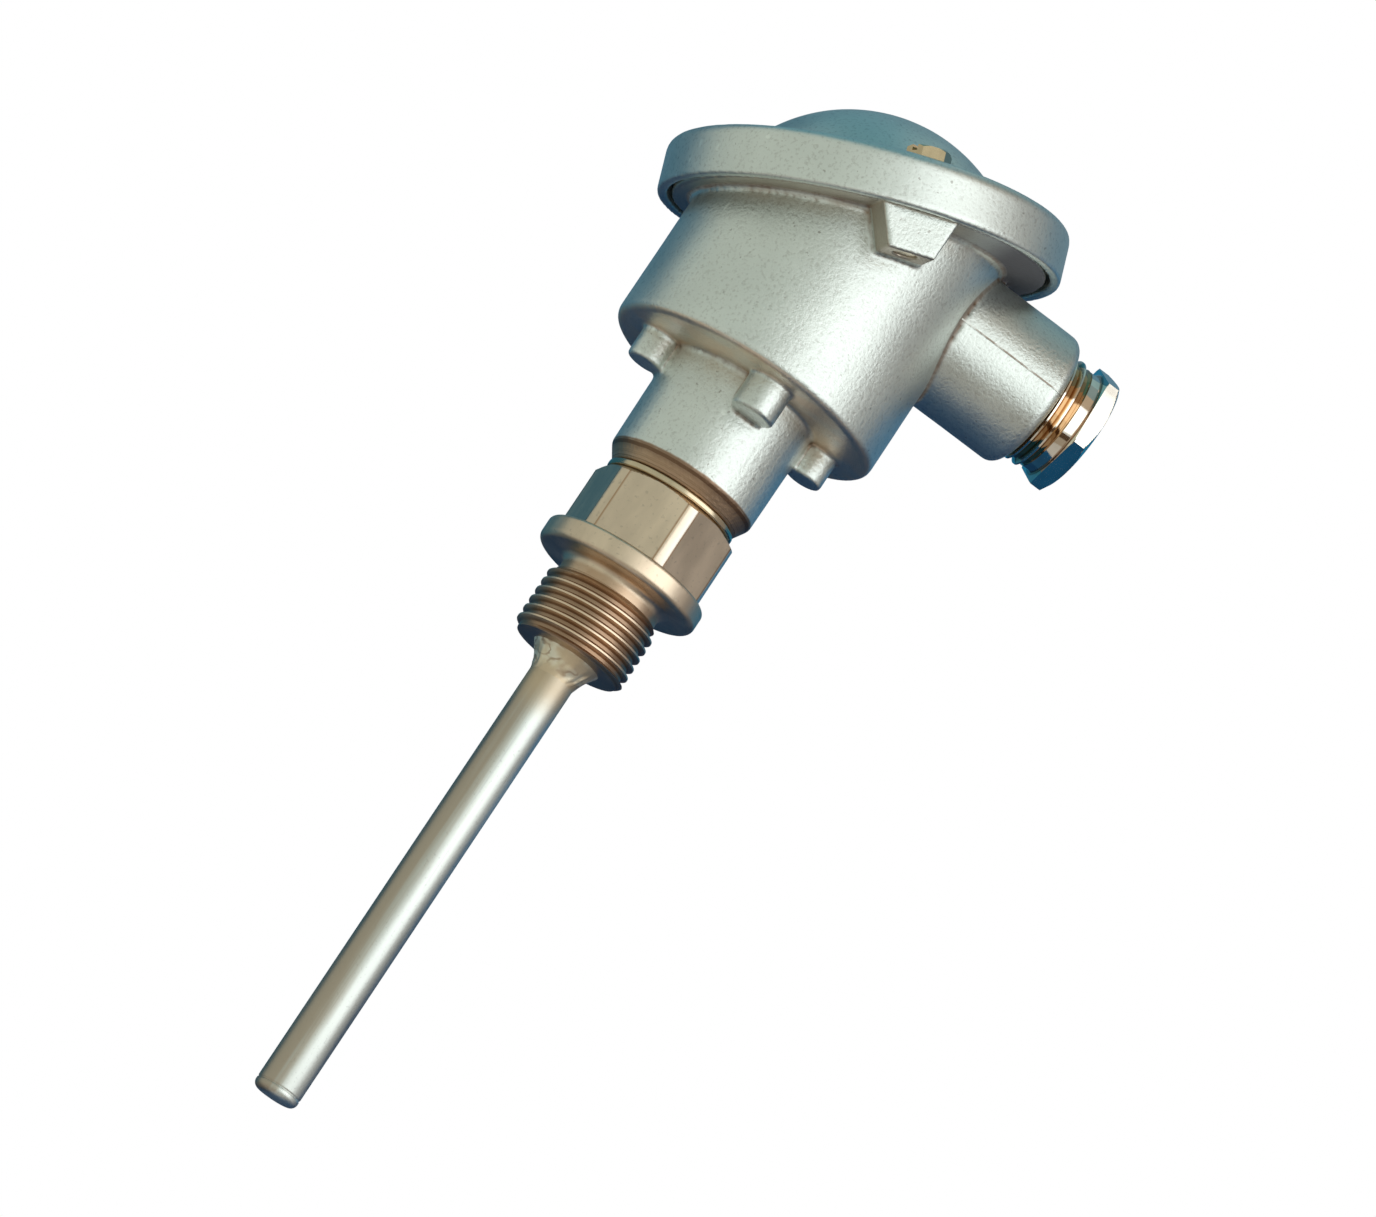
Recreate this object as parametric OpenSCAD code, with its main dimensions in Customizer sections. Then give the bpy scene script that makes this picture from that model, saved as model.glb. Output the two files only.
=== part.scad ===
// Resistance thermometer with a cast connection head, a threaded process fitting and a welded
// protective tube. Millimetres. The origin is the centre of the collar's sealing face, +Z runs
// up to the head, +X to the cable entry and -Y to the front cover screw.

/* [Protective tube] */
// Outer diameter of the protective tube
tube_od = 8; // [7:0.5:9]
// Wall thickness of the protective tube
tube_wall = 0.75; // [0.6:0.05:0.9]
// Distance from the sealing face to the tip
insertion_len = 101.6; // [60:0.1:300]
// Thickness of the plug that closes the tip
plug_h = 1.6; // [1.2:0.1:3]
// Radius of the rounded edge at the tip
tip_round = 1.2; // [0.5:0.1:1.2]
// Length of the weld fillet along the tube
weld_len = 4.6; // [3:0.1:6]
// Width of the weld fillet on the fitting
weld_w = 2.2; // [1.5:0.1:3]

/* [Process fitting] */
// Outside diameter of the process thread
thread_od = 20.955; // [20:0.005:22]
// Distance from the sealing face to the end of the thread
thread_end = 14.6; // [14:0.1:24]
// Chamfer at the end of the thread
thread_chamfer = 0.8; // [0.4:0.1:1.2]
// Length of the undercut below the sealing face
undercut_len = 2.8; // [2.5:0.1:4]
// Diameter of the undercut
undercut_d = 18.6; // [18:0.1:19]
// Radius of the cove that joins undercut and collar
cove_r = 1.5; // [0.5:0.1:2]
// Diameter of the sealing collar
collar_d = 30; // [28:0.5:34]
// Thickness of the sealing collar
collar_h = 4; // [3:0.5:6]
// Rounding of the collar's edges
collar_round = 1.2; // [0.3:0.1:1.6]
// Width of the hexagon across flats
hex_af = 24; // [22:0.5:26]
// Diameter to which the hexagon's corners are turned
hex_corner_d = 26.8; // [25.4:0.1:27.4]
// Height of the hexagon
hex_h = 12.5; // [8:0.5:20]
// Angle by which the hexagon stands turned about the axis
hex_turn = -24; // [-30:1:30]
// Diameter of the thread between fitting and head
neck_thread_d = 22; // [20:0.5:22.5]
// Length of the thread between fitting and head
neck_thread_len = 13; // [8:0.5:15]
// Thickness of the seal ring between fitting and head
ring_h = 1.1; // [0.8:0.1:2]
// Outside diameter of the seal ring
ring_od = 24.2; // [23.4:0.1:25]

/* [Head body] */
// Outside diameter of the neck at its lower end
neck_low_d = 27.2; // [26:0.1:28]
// Outside diameter of the neck below the body
neck_top_d = 27.7; // [26.5:0.1:29]
// Height of the cone at the neck's lower end
neck_taper_h = 3; // [2:0.1:4]
// Height of the neck below the body's floor
neck_h = 21.6; // [18:0.1:26]
// Outside diameter of the body
body_d = 50; // [46:0.5:60]
// Wall thickness of the body
body_wall = 2.75; // [2.5:0.05:2.8]
// Thickness of the body's floor
floor_h = 3; // [2.5:0.1:4]
// Rounding of the body's lower edge
body_round = 1.4; // [0.5:0.1:2]
// Radius of the fillet between neck and body
neck_fillet = 0.8; // [0.4:0.1:1]
// Gap between the cable entry and the lid's skirt
entry_gap = 3.14; // [1.5:0.01:8]
// Slant of the lid seat
lid_tilt = 20; // [10:0.5:22]
// Sideways offset of the lid along its seat
lid_shift = 2; // [0:0.1:3]
// Distance from the lid's lower edge plane to the top of the body's flange
seat_in = 2; // [1.6:0.1:3.4]
// Radius of the fillet between body and flange
flange_fillet = 0.5; // [0.2:0.1:0.6]
// Thickness of the flange
flange_h = 1.8; // [1.2:0.1:2.4]

/* [Bosses] */
// Distance from the spring screws' axes to the body's inner wall
spring_inset = 5.75; // [4.8:0.05:8]
// Diameter of the two bosses under the spring screws
side_boss_d = 7; // [6.5:0.1:7.6]
// Length of the two bosses under the spring screws
side_boss_h = 5.6; // [4:0.1:7]
// Diameter of the front and rear bosses
front_boss_d = 8; // [7:0.1:8.4]
// Length of the front and rear bosses
front_boss_h = 6.5; // [4:0.1:7.5]
// Rounding of the bosses' ends
boss_round = 0.6; // [0.3:0.1:1]

/* [Cable entry] */
// Height of the entry's axis above the body's floor level
entry_rise = 29.8; // [28.8:0.1:29.9]
// Outside diameter of the entry boss
entry_d = 25.6; // [24:0.1:25.8]
// Distance from the axis to the entry's end
entry_reach = 43.4; // [41:0.1:48]
// Rounding of the entry's end
entry_round = 2.2; // [1:0.1:2.4]
// Thread diameter of the cable gland
gland_thread_d = 20.9; // [19:0.1:21.2]
// Depth of the gland's thread in the entry
gland_depth = 11.5; // [9:0.5:13]
// Diameter of the passage behind the gland
passage_d = 15; // [12:0.5:16]

/* [Lid] */
// Gap between the body's flange and the skirt
skirt_gap = 0.8; // [0.4:0.1:4]
// Height of the lid's skirt
skirt_h = 9.1; // [8:0.1:11]
// Wall thickness of the skirt
skirt_wall = 1.8; // [1.5:0.1:2.3]
// Rounding of the lid's upper edge
lid_round = 2; // [1:0.1:2.8]
// Rounding of the skirt's lower edge
skirt_round = 0.6; // [0.3:0.1:0.9]
// Thickness of the lid's flat and dome
lid_wall = 2.8; // [2.2:0.1:3.2]
// Sphere radius of the dome beyond the body's radius
dome_out = 3.4; // [1.8:0.1:3.6]
// Height of the dome's top above the skirt's lower edge
dome_h = 21.6; // [18:0.1:23]
// Radius of the fillet at the dome's foot
dome_fillet = 1.6; // [1:0.1:1.8]
// Reach of the press ring beyond the body's outside
press_out = 3.5; // [1:0.1:5]
// Reach of the press ring inside the body's outside
press_in = 1.2; // [0.5:0.1:2.2]
// Thickness of the cover gasket
gasket_h = 1; // [0.6:0.1:1.2]
// Distance of the gasket's edges from the edges of its seat
gasket_inset = 0.5; // [0.3:0.1:0.7]

/* [Cover screws] */
// Distance from the body's outside to the cover screws' axes
screw_out = 3.8; // [3.7:0.1:5]
// Diameter of the cover screws
screw_d = 4; // [4:0.5:5]
// Width of the screw heads across flats
screw_af = 6.7; // [6.5:0.1:8]
// Height of the screw heads
screw_head_h = 2.1; // [2:0.1:4]
// Angle by which the screw heads stand turned
screw_turn = -5; // [-30:1:30]
// Width of the slot in the screw heads
slot_w = 1.2; // [0.8:0.1:1.6]
// Depth of the slot in the screw heads
slot_h = 1; // [0.8:0.1:1.4]
// Width of a lug at its upper end
lug_top_w = 13.4; // [13:0.1:14.4]
// Width of a lug at its lower end
lug_low_w = 8.2; // [6.6:0.1:9]
// Depth of a lug below the lid's lower edge plane
lug_h = 6.9; // [5:0.1:8]
// Distance from a cover screw's axis to the edge of flange and lug
lug_end = 3.4; // [3:0.1:5]

/* [Cable gland] */
// Width of the gland's hexagon across flats
gland_af = 21.5; // [20.6:0.1:23]
// Thickness of the gland's hexagon
gland_hex_h = 3.1; // [2.5:0.1:5]
// Chamfer depth on the gland's hexagon
gland_chamfer = 1; // [0.5:0.1:1.2]
// Length of the gland's thread
gland_thread_len = 10.3; // [8:0.1:11]
// Length of the plain groove behind the hexagon
gland_groove_len = 2; // [1.5:0.1:4]
// Diameter of the plain groove behind the hexagon
gland_groove_d = 19.6; // [18:0.1:20.4]
// Chamfer of the cable bore's mouth
gland_mouth = 0.8; // [0.4:0.1:1.2]
// Diameter of the cable bore
cable_bore_d = 12.5; // [10:0.1:13]
// Turn of the gland's hexagon about its axis
gland_turn = -7; // [-30:1:30]
// Thickness of the thrust ring
thrust_h = 1; // [0.8:0.1:1.5]
// Inner diameter of the rubber seal
seal_id = 10; // [8:0.1:11]
// Length of the rubber seal
seal_len = 4.1; // [3:0.1:5]

/* [Measuring insert] */
// Diameter of the insert's sheath
sheath_od = 6; // [5:0.1:6]
// Wall thickness of the insert's sheath
sheath_wall = 0.45; // [0.3:0.05:0.5]
// Rounding of the sheath's lower end
sheath_round = 1; // [0.5:0.1:1.4]
// Gap between the insert plate and the body's wall
plate_gap = 1.25; // [0.8:0.05:2]
// Thickness of the mounting plate
plate_h = 1.5; // [1.2:0.1:2]
// Diameter of the bush that joins sheath and plate
bush_d = 9; // [8.4:0.1:10]
// Length of the bush
bush_h = 6; // [5:0.1:8]
// Diameter of the sensing element
element_d = 2.8; // [2:0.1:3]
// Length of the sensing element
element_len = 25; // [15:1:30]
// Diameter of the four-bore insulator
insulator_d = 4.8; // [4.4:0.1:4.8]
// Diameter of the lead wires
wire_d = 0.6; // [0.4:0.05:0.7]
// Distance of the lead wires from the axis, along X and Y
wire_off = 1; // [0.9:0.05:1.1]

/* [Terminal block] */
// Distance from the plate's edge to the terminal block
block_inset = 0.7; // [0.4:0.1:2]
// Width of the ceramic block across its flats
block_w = 22.6; // [21.6:0.1:23]
// Height of the ceramic block
block_h = 11; // [9:0.5:13]
// Diameter of the wire hole in the block
wire_hole_d = 7.6; // [7:0.1:8]
// Size of a terminal along X
terminal_w = 7.4; // [7:0.1:7.6]
// Size of a terminal along Y
terminal_l = 12; // [11.6:0.1:12.4]
// Height of a terminal
terminal_h = 6; // [5:0.1:7]
// Distance of the terminals' centres from the block's middle, along X
terminal_x = 6.4; // [6.2:0.05:6.6]
// Distance from a terminal's middle to the block's edge
terminal_inset = 10; // [9.6:0.1:10.2]
// Length that a terminal's screws stop short of its underside
terminal_floor = 1.2; // [1:0.1:1.5]
// Depth of the pockets that hold the terminals
pocket_h = 3; // [2:0.1:4]
// Diameter of the terminal screws
terminal_screw_d = 3.5; // [3:0.1:3.5]
// Head diameter of the terminal screws
terminal_head_d = 5.8; // [5:0.1:5.8]
// Head height of the terminal screws
terminal_head_h = 2; // [1.6:0.1:2.4]
// Distance between the two screws of a terminal
terminal_pitch = 6; // [5.9:0.05:6.2]
// Thickness of the eyelets on the lead wires
eyelet_h = 0.8; // [0.6:0.1:1]
// Diameter of the two screws that hold the block
block_screw_d = 2.5; // [2:0.1:2.5]
// Head diameter of the two screws that hold the block
block_screw_head_d = 4.4; // [4:0.1:4.4]
// Distance from the block's screws to its edge
block_screw_inset = 3.3; // [2.8:0.1:3.6]

/* [Spring screws] */
// Diameter of the spring screws
spring_screw_d = 4; // [3.5:0.1:4]
// Head diameter of the spring screws
spring_head_d = 7; // [6.4:0.1:7.4]
// Head height of the spring screws
spring_head_h = 2.6; // [2:0.1:3]
// Length of the springs as fitted
spring_len = 14; // [12:0.5:15]
// Thread length of the spring screws in the floor
spring_thread_len = 5.6; // [4:0.1:6]
// Mean diameter of the springs
spring_mean_d = 5.8; // [5.4:0.1:6]
// Wire diameter of the springs
spring_wire_d = 0.8; // [0.6:0.05:0.9]
// Number of turns of the springs
spring_turns = 6; // [4:1:8]

/* [Earth terminal] */
// Diameter of the earth screw
earth_d = 4; // [3.5:0.1:4]
// Diameter of the earth pad on the inner wall
earth_pad_d = 9; // [8.6:0.1:10]
// Head height of the earth screw
earth_head_h = 2.4; // [2:0.1:2.6]
// Height of the earth screw above the body's floor level
earth_rise = 24.8; // [23.6:0.1:25.6]
// Direction of the earth screw, seen from above
earth_turn = 90; // [80:5:100]
// Height of the earth terminal's pad above the body's inner wall
earth_pad_h = 1.85; // [1:0.05:3]

/* [Clearances] */
// Running clearance of turning threads, on the radius
run_gap = 0.05; // [0.02:0.01:0.1]
// Clearance of fixed pieces in their seats, on the radius
fit_gap = 0.1; // [0.05:0.01:0.15]
// Clearance of screws in plain holes, on the radius
hole_gap = 0.25; // [0.2:0.05:0.3]

/* [Hidden] */
$fn = 72;
eps = 0.01;
big = 200;

// Heights along the axis
hex_top = collar_h + hex_h;
neck_low_z = hex_top + ring_h;
spigot_top = hex_top + neck_thread_len;
body_z = neck_low_z + neck_h;
floor_z = body_z + floor_h;
entry_z = body_z + entry_rise;
tube_low_z = plug_h - insertion_len;

// Body, cover screws and lid
body_r = body_d / 2;
cavity_r = body_r - body_wall;
boss_r = cavity_r - spring_inset;
earth_pad_r = cavity_r - earth_pad_h;
screw_r = body_r + screw_out;
lug_reach = screw_r + lug_end;
lid_d = 2 * (lug_reach + skirt_gap + skirt_wall);
seat_z = entry_z + entry_d / 2 + entry_gap - (lid_shift + lid_d / 2) * sin(lid_tilt);

// Lid, in its own frame: z = 0 is the skirt's lower edge
dome_r = body_r + dome_out;
press_ring_d = body_d + 2 * press_out;
press_ring_id = body_d - 2 * press_in;
dome_z = dome_h - dome_r;
flat_in_z = skirt_h - lid_wall;
press_z = seat_in + gasket_h;
fillet_r_pos = sqrt(pow(dome_r + dome_fillet, 2) - pow(skirt_h + dome_fillet - dome_z, 2));
fillet_touch = dome_r / (dome_r + dome_fillet);

// Insert
plate_d = 2 * (cavity_r - plate_gap);
block_d = plate_d - 2 * block_inset;
terminal_y = block_d / 2 - terminal_inset;
block_screw_y = block_d / 2 - block_screw_inset;
plate_top = floor_z + plate_h;
block_top = plate_top + block_h;
terminal_low = block_top - pocket_h;
terminal_top = terminal_low + terminal_h;
sheath_r = sheath_od / 2;
bush_low = plate_top - bush_h / 2;
bush_top = plate_top + bush_h / 2;
element_low = tube_low_z + sheath_wall + 2;
insulator_low = element_low + element_len;
spring_head_z = plate_top + spring_len;

// Gland, distances from the axis along X
entry_stop = entry_reach - gland_depth;
gland_thread_end = entry_stop + seal_len + thrust_h + run_gap;
gland_groove_x = gland_thread_end + gland_thread_len;
gland_hex_x = gland_groove_x + gland_groove_len;
gland_end = gland_hex_x + gland_hex_h;

cast = [0.70, 0.71, 0.67];
steel = [0.64, 0.60, 0.51];
brass = [0.78, 0.70, 0.50];

// ---- shared shapes ----

// Places children in the lid's frame
module lid_frame() {
    translate([0, 0, seat_z]) rotate([0, -lid_tilt, 0]) translate([lid_shift, 0, 0]) children();
}

// Half of a plate with rounded lower (lo) and upper (hi) outer edges, for revolving
module rounded_half(r, z0, z1, lo, hi) {
    translate([0, z0 + lo]) square([r, z1 - z0 - lo - hi]);
    translate([0, z0]) square([r - lo, lo + eps]);
    translate([0, z1 - hi - eps]) square([r - hi, hi + eps]);
    translate([r - lo, z0 + lo]) circle(lo);
    translate([r - hi, z1 - hi]) circle(hi);
}

// Hexagonal bar, flats across X when turned by zero
module hexagon(af, h) {
    cylinder(d = af / cos(30), h = h, $fn = 6);
}

// Slotted hexagon-head screw, its head standing on z = 0 and its shank below
module hex_screw(d, len, af, head_h) {
    corner_d = af / cos(30);
    difference() {
        intersection() {
            hexagon(af, head_h);
            cylinder(r1 = corner_d / 2 + head_h, r2 = corner_d / 2 - corner_d * 0.06, h = head_h);
        }
        rotate(30) translate([-big / 2, -slot_w / 2, head_h - slot_h]) cube([big, slot_w, slot_h + eps]);
    }
    translate([0, 0, -len]) cylinder(d = d, h = len + eps);
}

// Slotted round-head screw, its head standing on z = 0 and its shank below
module round_screw(d, len, head_d, head_h) {
    difference() {
        rotate_extrude() rounded_half(head_d / 2, 0, head_h, 0.1, head_h * 0.25);
        translate([-head_d, -d * 0.12, head_h * 0.5]) cube([2 * head_d, d * 0.24, head_h]);
    }
    translate([0, 0, -len]) cylinder(d = d, h = len + eps);
}

// Straight round rod between two points, with round ends
module rod(a, b, d) {
    v = b - a;
    len = norm(v);
    translate(a) rotate([0, acos(v[2] / len), atan2(v[1], v[0])]) cylinder(d = d, h = len, $fn = 24);
    translate(b) sphere(d = d + 4 * eps, $fn = 24);
}

// ---- process fitting and protective tube ----

module process_fitting() {
    tube_r = tube_od / 2;
    color(steel) difference() {
        union() {
            rotate_extrude() {
                difference() {
                    union() {
                        translate([0, -undercut_len - eps]) square([undercut_d / 2, undercut_len + 2 * eps]);
                        translate([0, -cove_r]) square([undercut_d / 2 + cove_r, cove_r + eps]);
                    }
                    translate([undercut_d / 2 + cove_r, -cove_r]) circle(cove_r);
                }
                polygon([
                    [0, -undercut_len], [undercut_d / 2, -undercut_len],
                    [thread_od / 2, -undercut_len - (thread_od - undercut_d) / 4],
                    [thread_od / 2, thread_chamfer - thread_end],
                    [thread_od / 2 - thread_chamfer, -thread_end], [0, -thread_end]
                ]);
                rounded_half(collar_d / 2, 0, collar_h, collar_round, collar_round * 0.6);
                translate([0, hex_top - eps])
                    square([neck_thread_d / 2 - run_gap, spigot_top - hex_top + eps]);
            }
            intersection() {
                translate([0, 0, collar_h - eps]) rotate(hex_turn) hexagon(hex_af, hex_h + eps);
                rotate_extrude() hex_blank();
            }
        }
        translate([0, 0, -thread_end - eps]) cylinder(r = tube_r, h = thread_end + collar_h);
        cylinder(d = tube_od - 2 * tube_wall, h = big);
        translate([0, 0, hex_top]) cylinder(d = bush_d + 4 * hole_gap, h = big);
    }
}

// Turned outline of the hexagon, with a chamfered top
module hex_blank() {
    chamfer_r = hex_corner_d / 2 - hex_af * 0.47;
    polygon([
        [0, 0], [hex_corner_d / 2, 0], [hex_corner_d / 2, hex_top - chamfer_r * tan(30)],
        [hex_corner_d / 2 - chamfer_r, hex_top], [0, hex_top]
    ]);
}

module stem_tube() {
    color(steel) translate([0, 0, tube_low_z]) difference() {
        cylinder(d = tube_od, h = collar_h - tube_low_z - eps);
        translate([0, 0, -eps]) cylinder(d = tube_od - 2 * tube_wall, h = big);
    }
}

module stem_weld() {
    tube_r = tube_od / 2;
    arc_r = weld_len * 1.3;
    reach = [weld_w, weld_len];
    mid = reach / 2;
    normal = [reach[1], reach[0]] / norm(reach);
    centre = mid + normal * sqrt(arc_r * arc_r - pow(norm(reach) / 2, 2));
    color(steel) rotate_extrude() translate([tube_r, -thread_end]) mirror([0, 1]) difference() {
        polygon([[0, 0], [weld_w, 0], [0, weld_len]]);
        translate(centre) circle(arc_r);
    }
}

module tip_plug() {
    color(steel) translate([0, 0, -insertion_len])
        rotate_extrude() intersection() {
            square([tube_od, plug_h]);
            rounded_half(tube_od / 2, 0, plug_h + 1, tip_round, 0.3);
        }
}

module neck_seal_ring() {
    color(brass) translate([0, 0, hex_top]) rotate_extrude() difference() {
        rounded_half(ring_od / 2, 0, ring_h, ring_h * 0.3, ring_h * 0.3);
        translate([-eps, -eps]) square([neck_thread_d / 2 + run_gap, ring_h + 1]);
    }
}

// ---- head body ----

module head_body() {
    color(cast) difference() {
        union() {
            intersection() {
                union() {
                    rotate_extrude() body_outline();
                    rotate([0, 90, 0]) translate([-entry_z, 0, 0]) rotate_extrude()
                        rounded_half(entry_d / 2, cavity_r, entry_reach, 0.1, entry_round);
                    flange();
                }
                lid_frame() translate([-big / 2, -big / 2, seat_in - big]) cube(big);
            }
            for (side = [-1, 1]) lid_frame() lug(side);
            bosses();
            earth_pad();
        }
        body_hollow();
        entry_bores();
        for (side = [-1, 1]) {
            lid_frame() translate([0, side * screw_r, -lug_h - eps])
                cylinder(d = screw_d + 2 * run_gap, h = lug_h + press_z + 1);
            translate([side * boss_r, 0, floor_z - spring_thread_len - fit_gap])
                cylinder(d = spring_screw_d + fit_gap, h = spring_thread_len + 1);
        }
        rotate(earth_turn) translate([cavity_r - eps, 0, body_z + earth_rise]) rotate([0, -90, 0])
            translate([0, 0, -1]) cylinder(d = earth_d + fit_gap, h = big / 10);
    }
}

// Turned outline of neck and body, solid
module body_outline() {
    neck_r = neck_top_d / 2;
    mouth_r = ring_od / 2 - ring_h * 0.3;
    polygon([
        [0, neck_low_z], [mouth_r, neck_low_z],
        [neck_low_d / 2, neck_low_z + neck_taper_h], [neck_r, body_z - neck_fillet - eps],
        [neck_r, body_z + floor_h], [0, body_z + floor_h]
    ]);
    difference() {
        translate([0, body_z - neck_fillet]) square([neck_r + neck_fillet, neck_fillet + floor_h]);
        translate([neck_r + neck_fillet, body_z - neck_fillet]) circle(neck_fillet);
    }
    rounded_half(body_r, body_z, seat_z + body_r, body_round, 0.1);
}

// Round flange under the lid, with a fillet where it meets the body
module flange() {
    low = seat_in - flange_h;
    lid_frame() translate([0, 0, low]) cylinder(r = lug_reach, h = flange_h);
    intersection() {
        cylinder(r = body_r + flange_fillet, h = big);
        lid_frame() translate([-big / 2, -big / 2, low - flange_fillet]) cube([big, big, flange_fillet + eps]);
    }
}

// Lug that takes a cover screw, in the lid's frame
module lug(side) {
    back = body_r - body_wall / 2;
    translate([0, side > 0 ? lug_reach : -back, 0]) rotate([90, 0, 0])
        linear_extrude(lug_reach - back) polygon([
            [-lug_top_w / 2, seat_in - eps], [-lug_top_w / 2, 0], [-lug_low_w / 2, -lug_h],
            [lug_low_w / 2, -lug_h], [lug_top_w / 2, 0], [lug_top_w / 2, seat_in - eps]
        ]);
}

module bosses() {
    for (turn = [0 : 90 : 270]) {
        along_x = turn % 180 == 0;
        d = along_x ? side_boss_d : front_boss_d;
        h = along_x ? side_boss_h : front_boss_h;
        rotate(turn) translate([boss_r, 0, body_z - h])
            rotate_extrude() rounded_half(d / 2, 0, h + floor_h / 2, boss_round, 0.1);
    }
}

module earth_pad() {
    rotate(earth_turn) translate([cavity_r + body_wall / 2, 0, body_z + earth_rise]) rotate([0, -90, 0])
        cylinder(d = earth_pad_d, h = cavity_r + body_wall / 2 - earth_pad_r);
}

module body_hollow() {
    translate([0, 0, floor_z]) difference() {
        cylinder(r = cavity_r, h = big);
        translate([0, 0, -floor_z]) earth_pad();
    }
    translate([0, 0, neck_low_z - eps]) cylinder(d = neck_thread_d, h = floor_z - neck_low_z + 1);
}

module entry_bores() {
    translate([0, 0, entry_z]) rotate([0, 90, 0]) {
        translate([0, 0, entry_stop]) cylinder(d = gland_thread_d, h = big);
        translate([0, 0, cavity_r / 2]) cylinder(d = passage_d, h = entry_stop);
    }
}

// ---- lid ----

module head_cover() {
    color(cast) lid_frame() difference() {
        union() {
            rotate_extrude() difference() {
                cover_outline();
                cover_hollow();
            }
            for (side = [-1, 1]) translate([0, side * screw_r, press_z])
                cylinder(d = screw_af + 1, h = skirt_h - press_z - eps);
        }
        for (side = [-1, 1]) translate([0, side * screw_r, -eps])
            cylinder(d = screw_d + 2 * hole_gap, h = big);
    }
}

// Outer outline of the lid: skirt, flat and dome
module cover_outline() {
    rounded_half(lid_d / 2, 0, skirt_h, skirt_round, lid_round);
    intersection() {
        translate([0, dome_z]) circle(dome_r, $fn = 144);
        square([dome_r, dome_h + 1]);
    }
    difference() {
        polygon([
            [fillet_r_pos * fillet_touch - 2, skirt_h - eps], [fillet_r_pos, skirt_h - eps],
            [fillet_r_pos, skirt_h],
            [fillet_r_pos * fillet_touch, dome_z + (skirt_h + dome_fillet - dome_z) * fillet_touch]
        ]);
        translate([fillet_r_pos, skirt_h + dome_fillet]) circle(dome_fillet);
    }
}

// Space under the lid: dome, room inside the press ring, and channel behind the skirt
module cover_hollow() {
    channel_r = lid_d / 2 - skirt_wall;
    intersection() {
        translate([0, dome_z]) circle(dome_r - lid_wall, $fn = 144);
        square([dome_r, dome_h]);
    }
    translate([-eps, -eps]) square([press_ring_id / 2 + eps, flat_in_z + eps]);
    translate([-eps, -eps]) square([channel_r + eps, press_z + eps]);
    translate([press_ring_d / 2, -eps]) square([channel_r - press_ring_d / 2, flat_in_z + eps]);
}

module cover_gasket() {
    color("dimgray") intersection() {
        difference() {
            cylinder(r = body_r + gasket_inset, h = big);
            translate([0, 0, -eps]) cylinder(r = cavity_r + gasket_inset + 1, h = big + 1);
        }
        lid_frame() translate([-big / 2, -big / 2, seat_in]) cube([big, big, gasket_h]);
    }
}

module cover_screw(side) {
    color(brass) lid_frame() translate([0, side * screw_r, skirt_h]) rotate(screw_turn)
        hex_screw(screw_d, skirt_h + lug_h - 0.4, screw_af, screw_head_h);
}
module cover_screw_front() { cover_screw(-1); }
module cover_screw_rear() { cover_screw(1); }

// ---- cable gland ----

// Turns children so that z runs along the entry's axis
module entry_frame() {
    translate([0, 0, entry_z]) rotate([0, 90, 0]) children();
}

module gland_screw() {
    corner_r = gland_af / 2 / cos(30);
    color(brass) entry_frame() difference() {
        union() {
            rotate_extrude() {
                polygon([
                    [0, gland_thread_end], [gland_thread_d / 2 - 1, gland_thread_end],
                    [gland_thread_d / 2 - run_gap, gland_thread_end + 1],
                    [gland_thread_d / 2 - run_gap, gland_groove_x], [0, gland_groove_x]
                ]);
                translate([0, gland_groove_x - eps])
                    square([gland_groove_d / 2, gland_groove_len + 2 * eps]);
            }
            intersection() {
                translate([0, 0, gland_hex_x]) rotate(gland_turn) hexagon(gland_af, gland_hex_h);
                translate([0, 0, gland_hex_x])
                    cylinder(r1 = corner_r + (gland_hex_h - gland_chamfer) / tan(30),
                             r2 = corner_r - gland_chamfer / tan(30), h = gland_hex_h);
            }
        }
        translate([0, 0, gland_thread_end - eps]) cylinder(d = cable_bore_d, h = big);
        translate([0, 0, gland_end - gland_mouth])
            cylinder(d1 = cable_bore_d, d2 = cable_bore_d + 2 * gland_mouth, h = gland_mouth + eps);
    }
}

module gland_thrust_ring() {
    color(brass) entry_frame() translate([0, 0, gland_thread_end - thrust_h - run_gap]) difference() {
        cylinder(d = gland_thread_d - 4 * fit_gap, h = thrust_h);
        translate([0, 0, -eps]) cylinder(d = cable_bore_d + 4 * hole_gap, h = thrust_h + 1);
    }
}

module gland_seal() {
    color([0.15, 0.15, 0.15]) entry_frame() translate([0, 0, entry_stop]) difference() {
        cylinder(d = gland_thread_d - 4 * fit_gap, h = seal_len);
        translate([0, 0, -eps]) cylinder(d = seal_id, h = seal_len + 1);
    }
}

// ---- measuring insert ----

module insert_sheath() {
    len = bush_top - tube_low_z;
    color(steel) translate([0, 0, tube_low_z]) difference() {
        rotate_extrude() rounded_half(sheath_r, 0, len, sheath_round, 0.1);
        translate([0, 0, sheath_wall * 2]) cylinder(r = sheath_r - sheath_wall, h = len);
    }
}

module insert_insulator() {
    color("white") difference() {
        translate([0, 0, insulator_low]) cylinder(d = insulator_d, h = bush_top - insulator_low + 1);
        for (i = [0 : 3]) translate(concat(wire_xy(i), insulator_low - 1))
            cylinder(d = wire_d + 0.3, h = big, $fn = 24);
    }
}

module sensing_element() {
    color("whitesmoke") translate([0, 0, element_low]) rotate_extrude()
        rounded_half(element_d / 2, 0, element_len, 0.4, 0.1);
}

module insert_bush() {
    color(steel) difference() {
        union() {
            translate([0, 0, bush_low]) cylinder(d = bush_d, h = bush_h);
            translate([0, 0, plate_top]) cylinder(d = bush_d + 2, h = 1);
        }
        translate([0, 0, bush_low - eps]) cylinder(r = sheath_r, h = bush_h + 1);
    }
}

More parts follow.
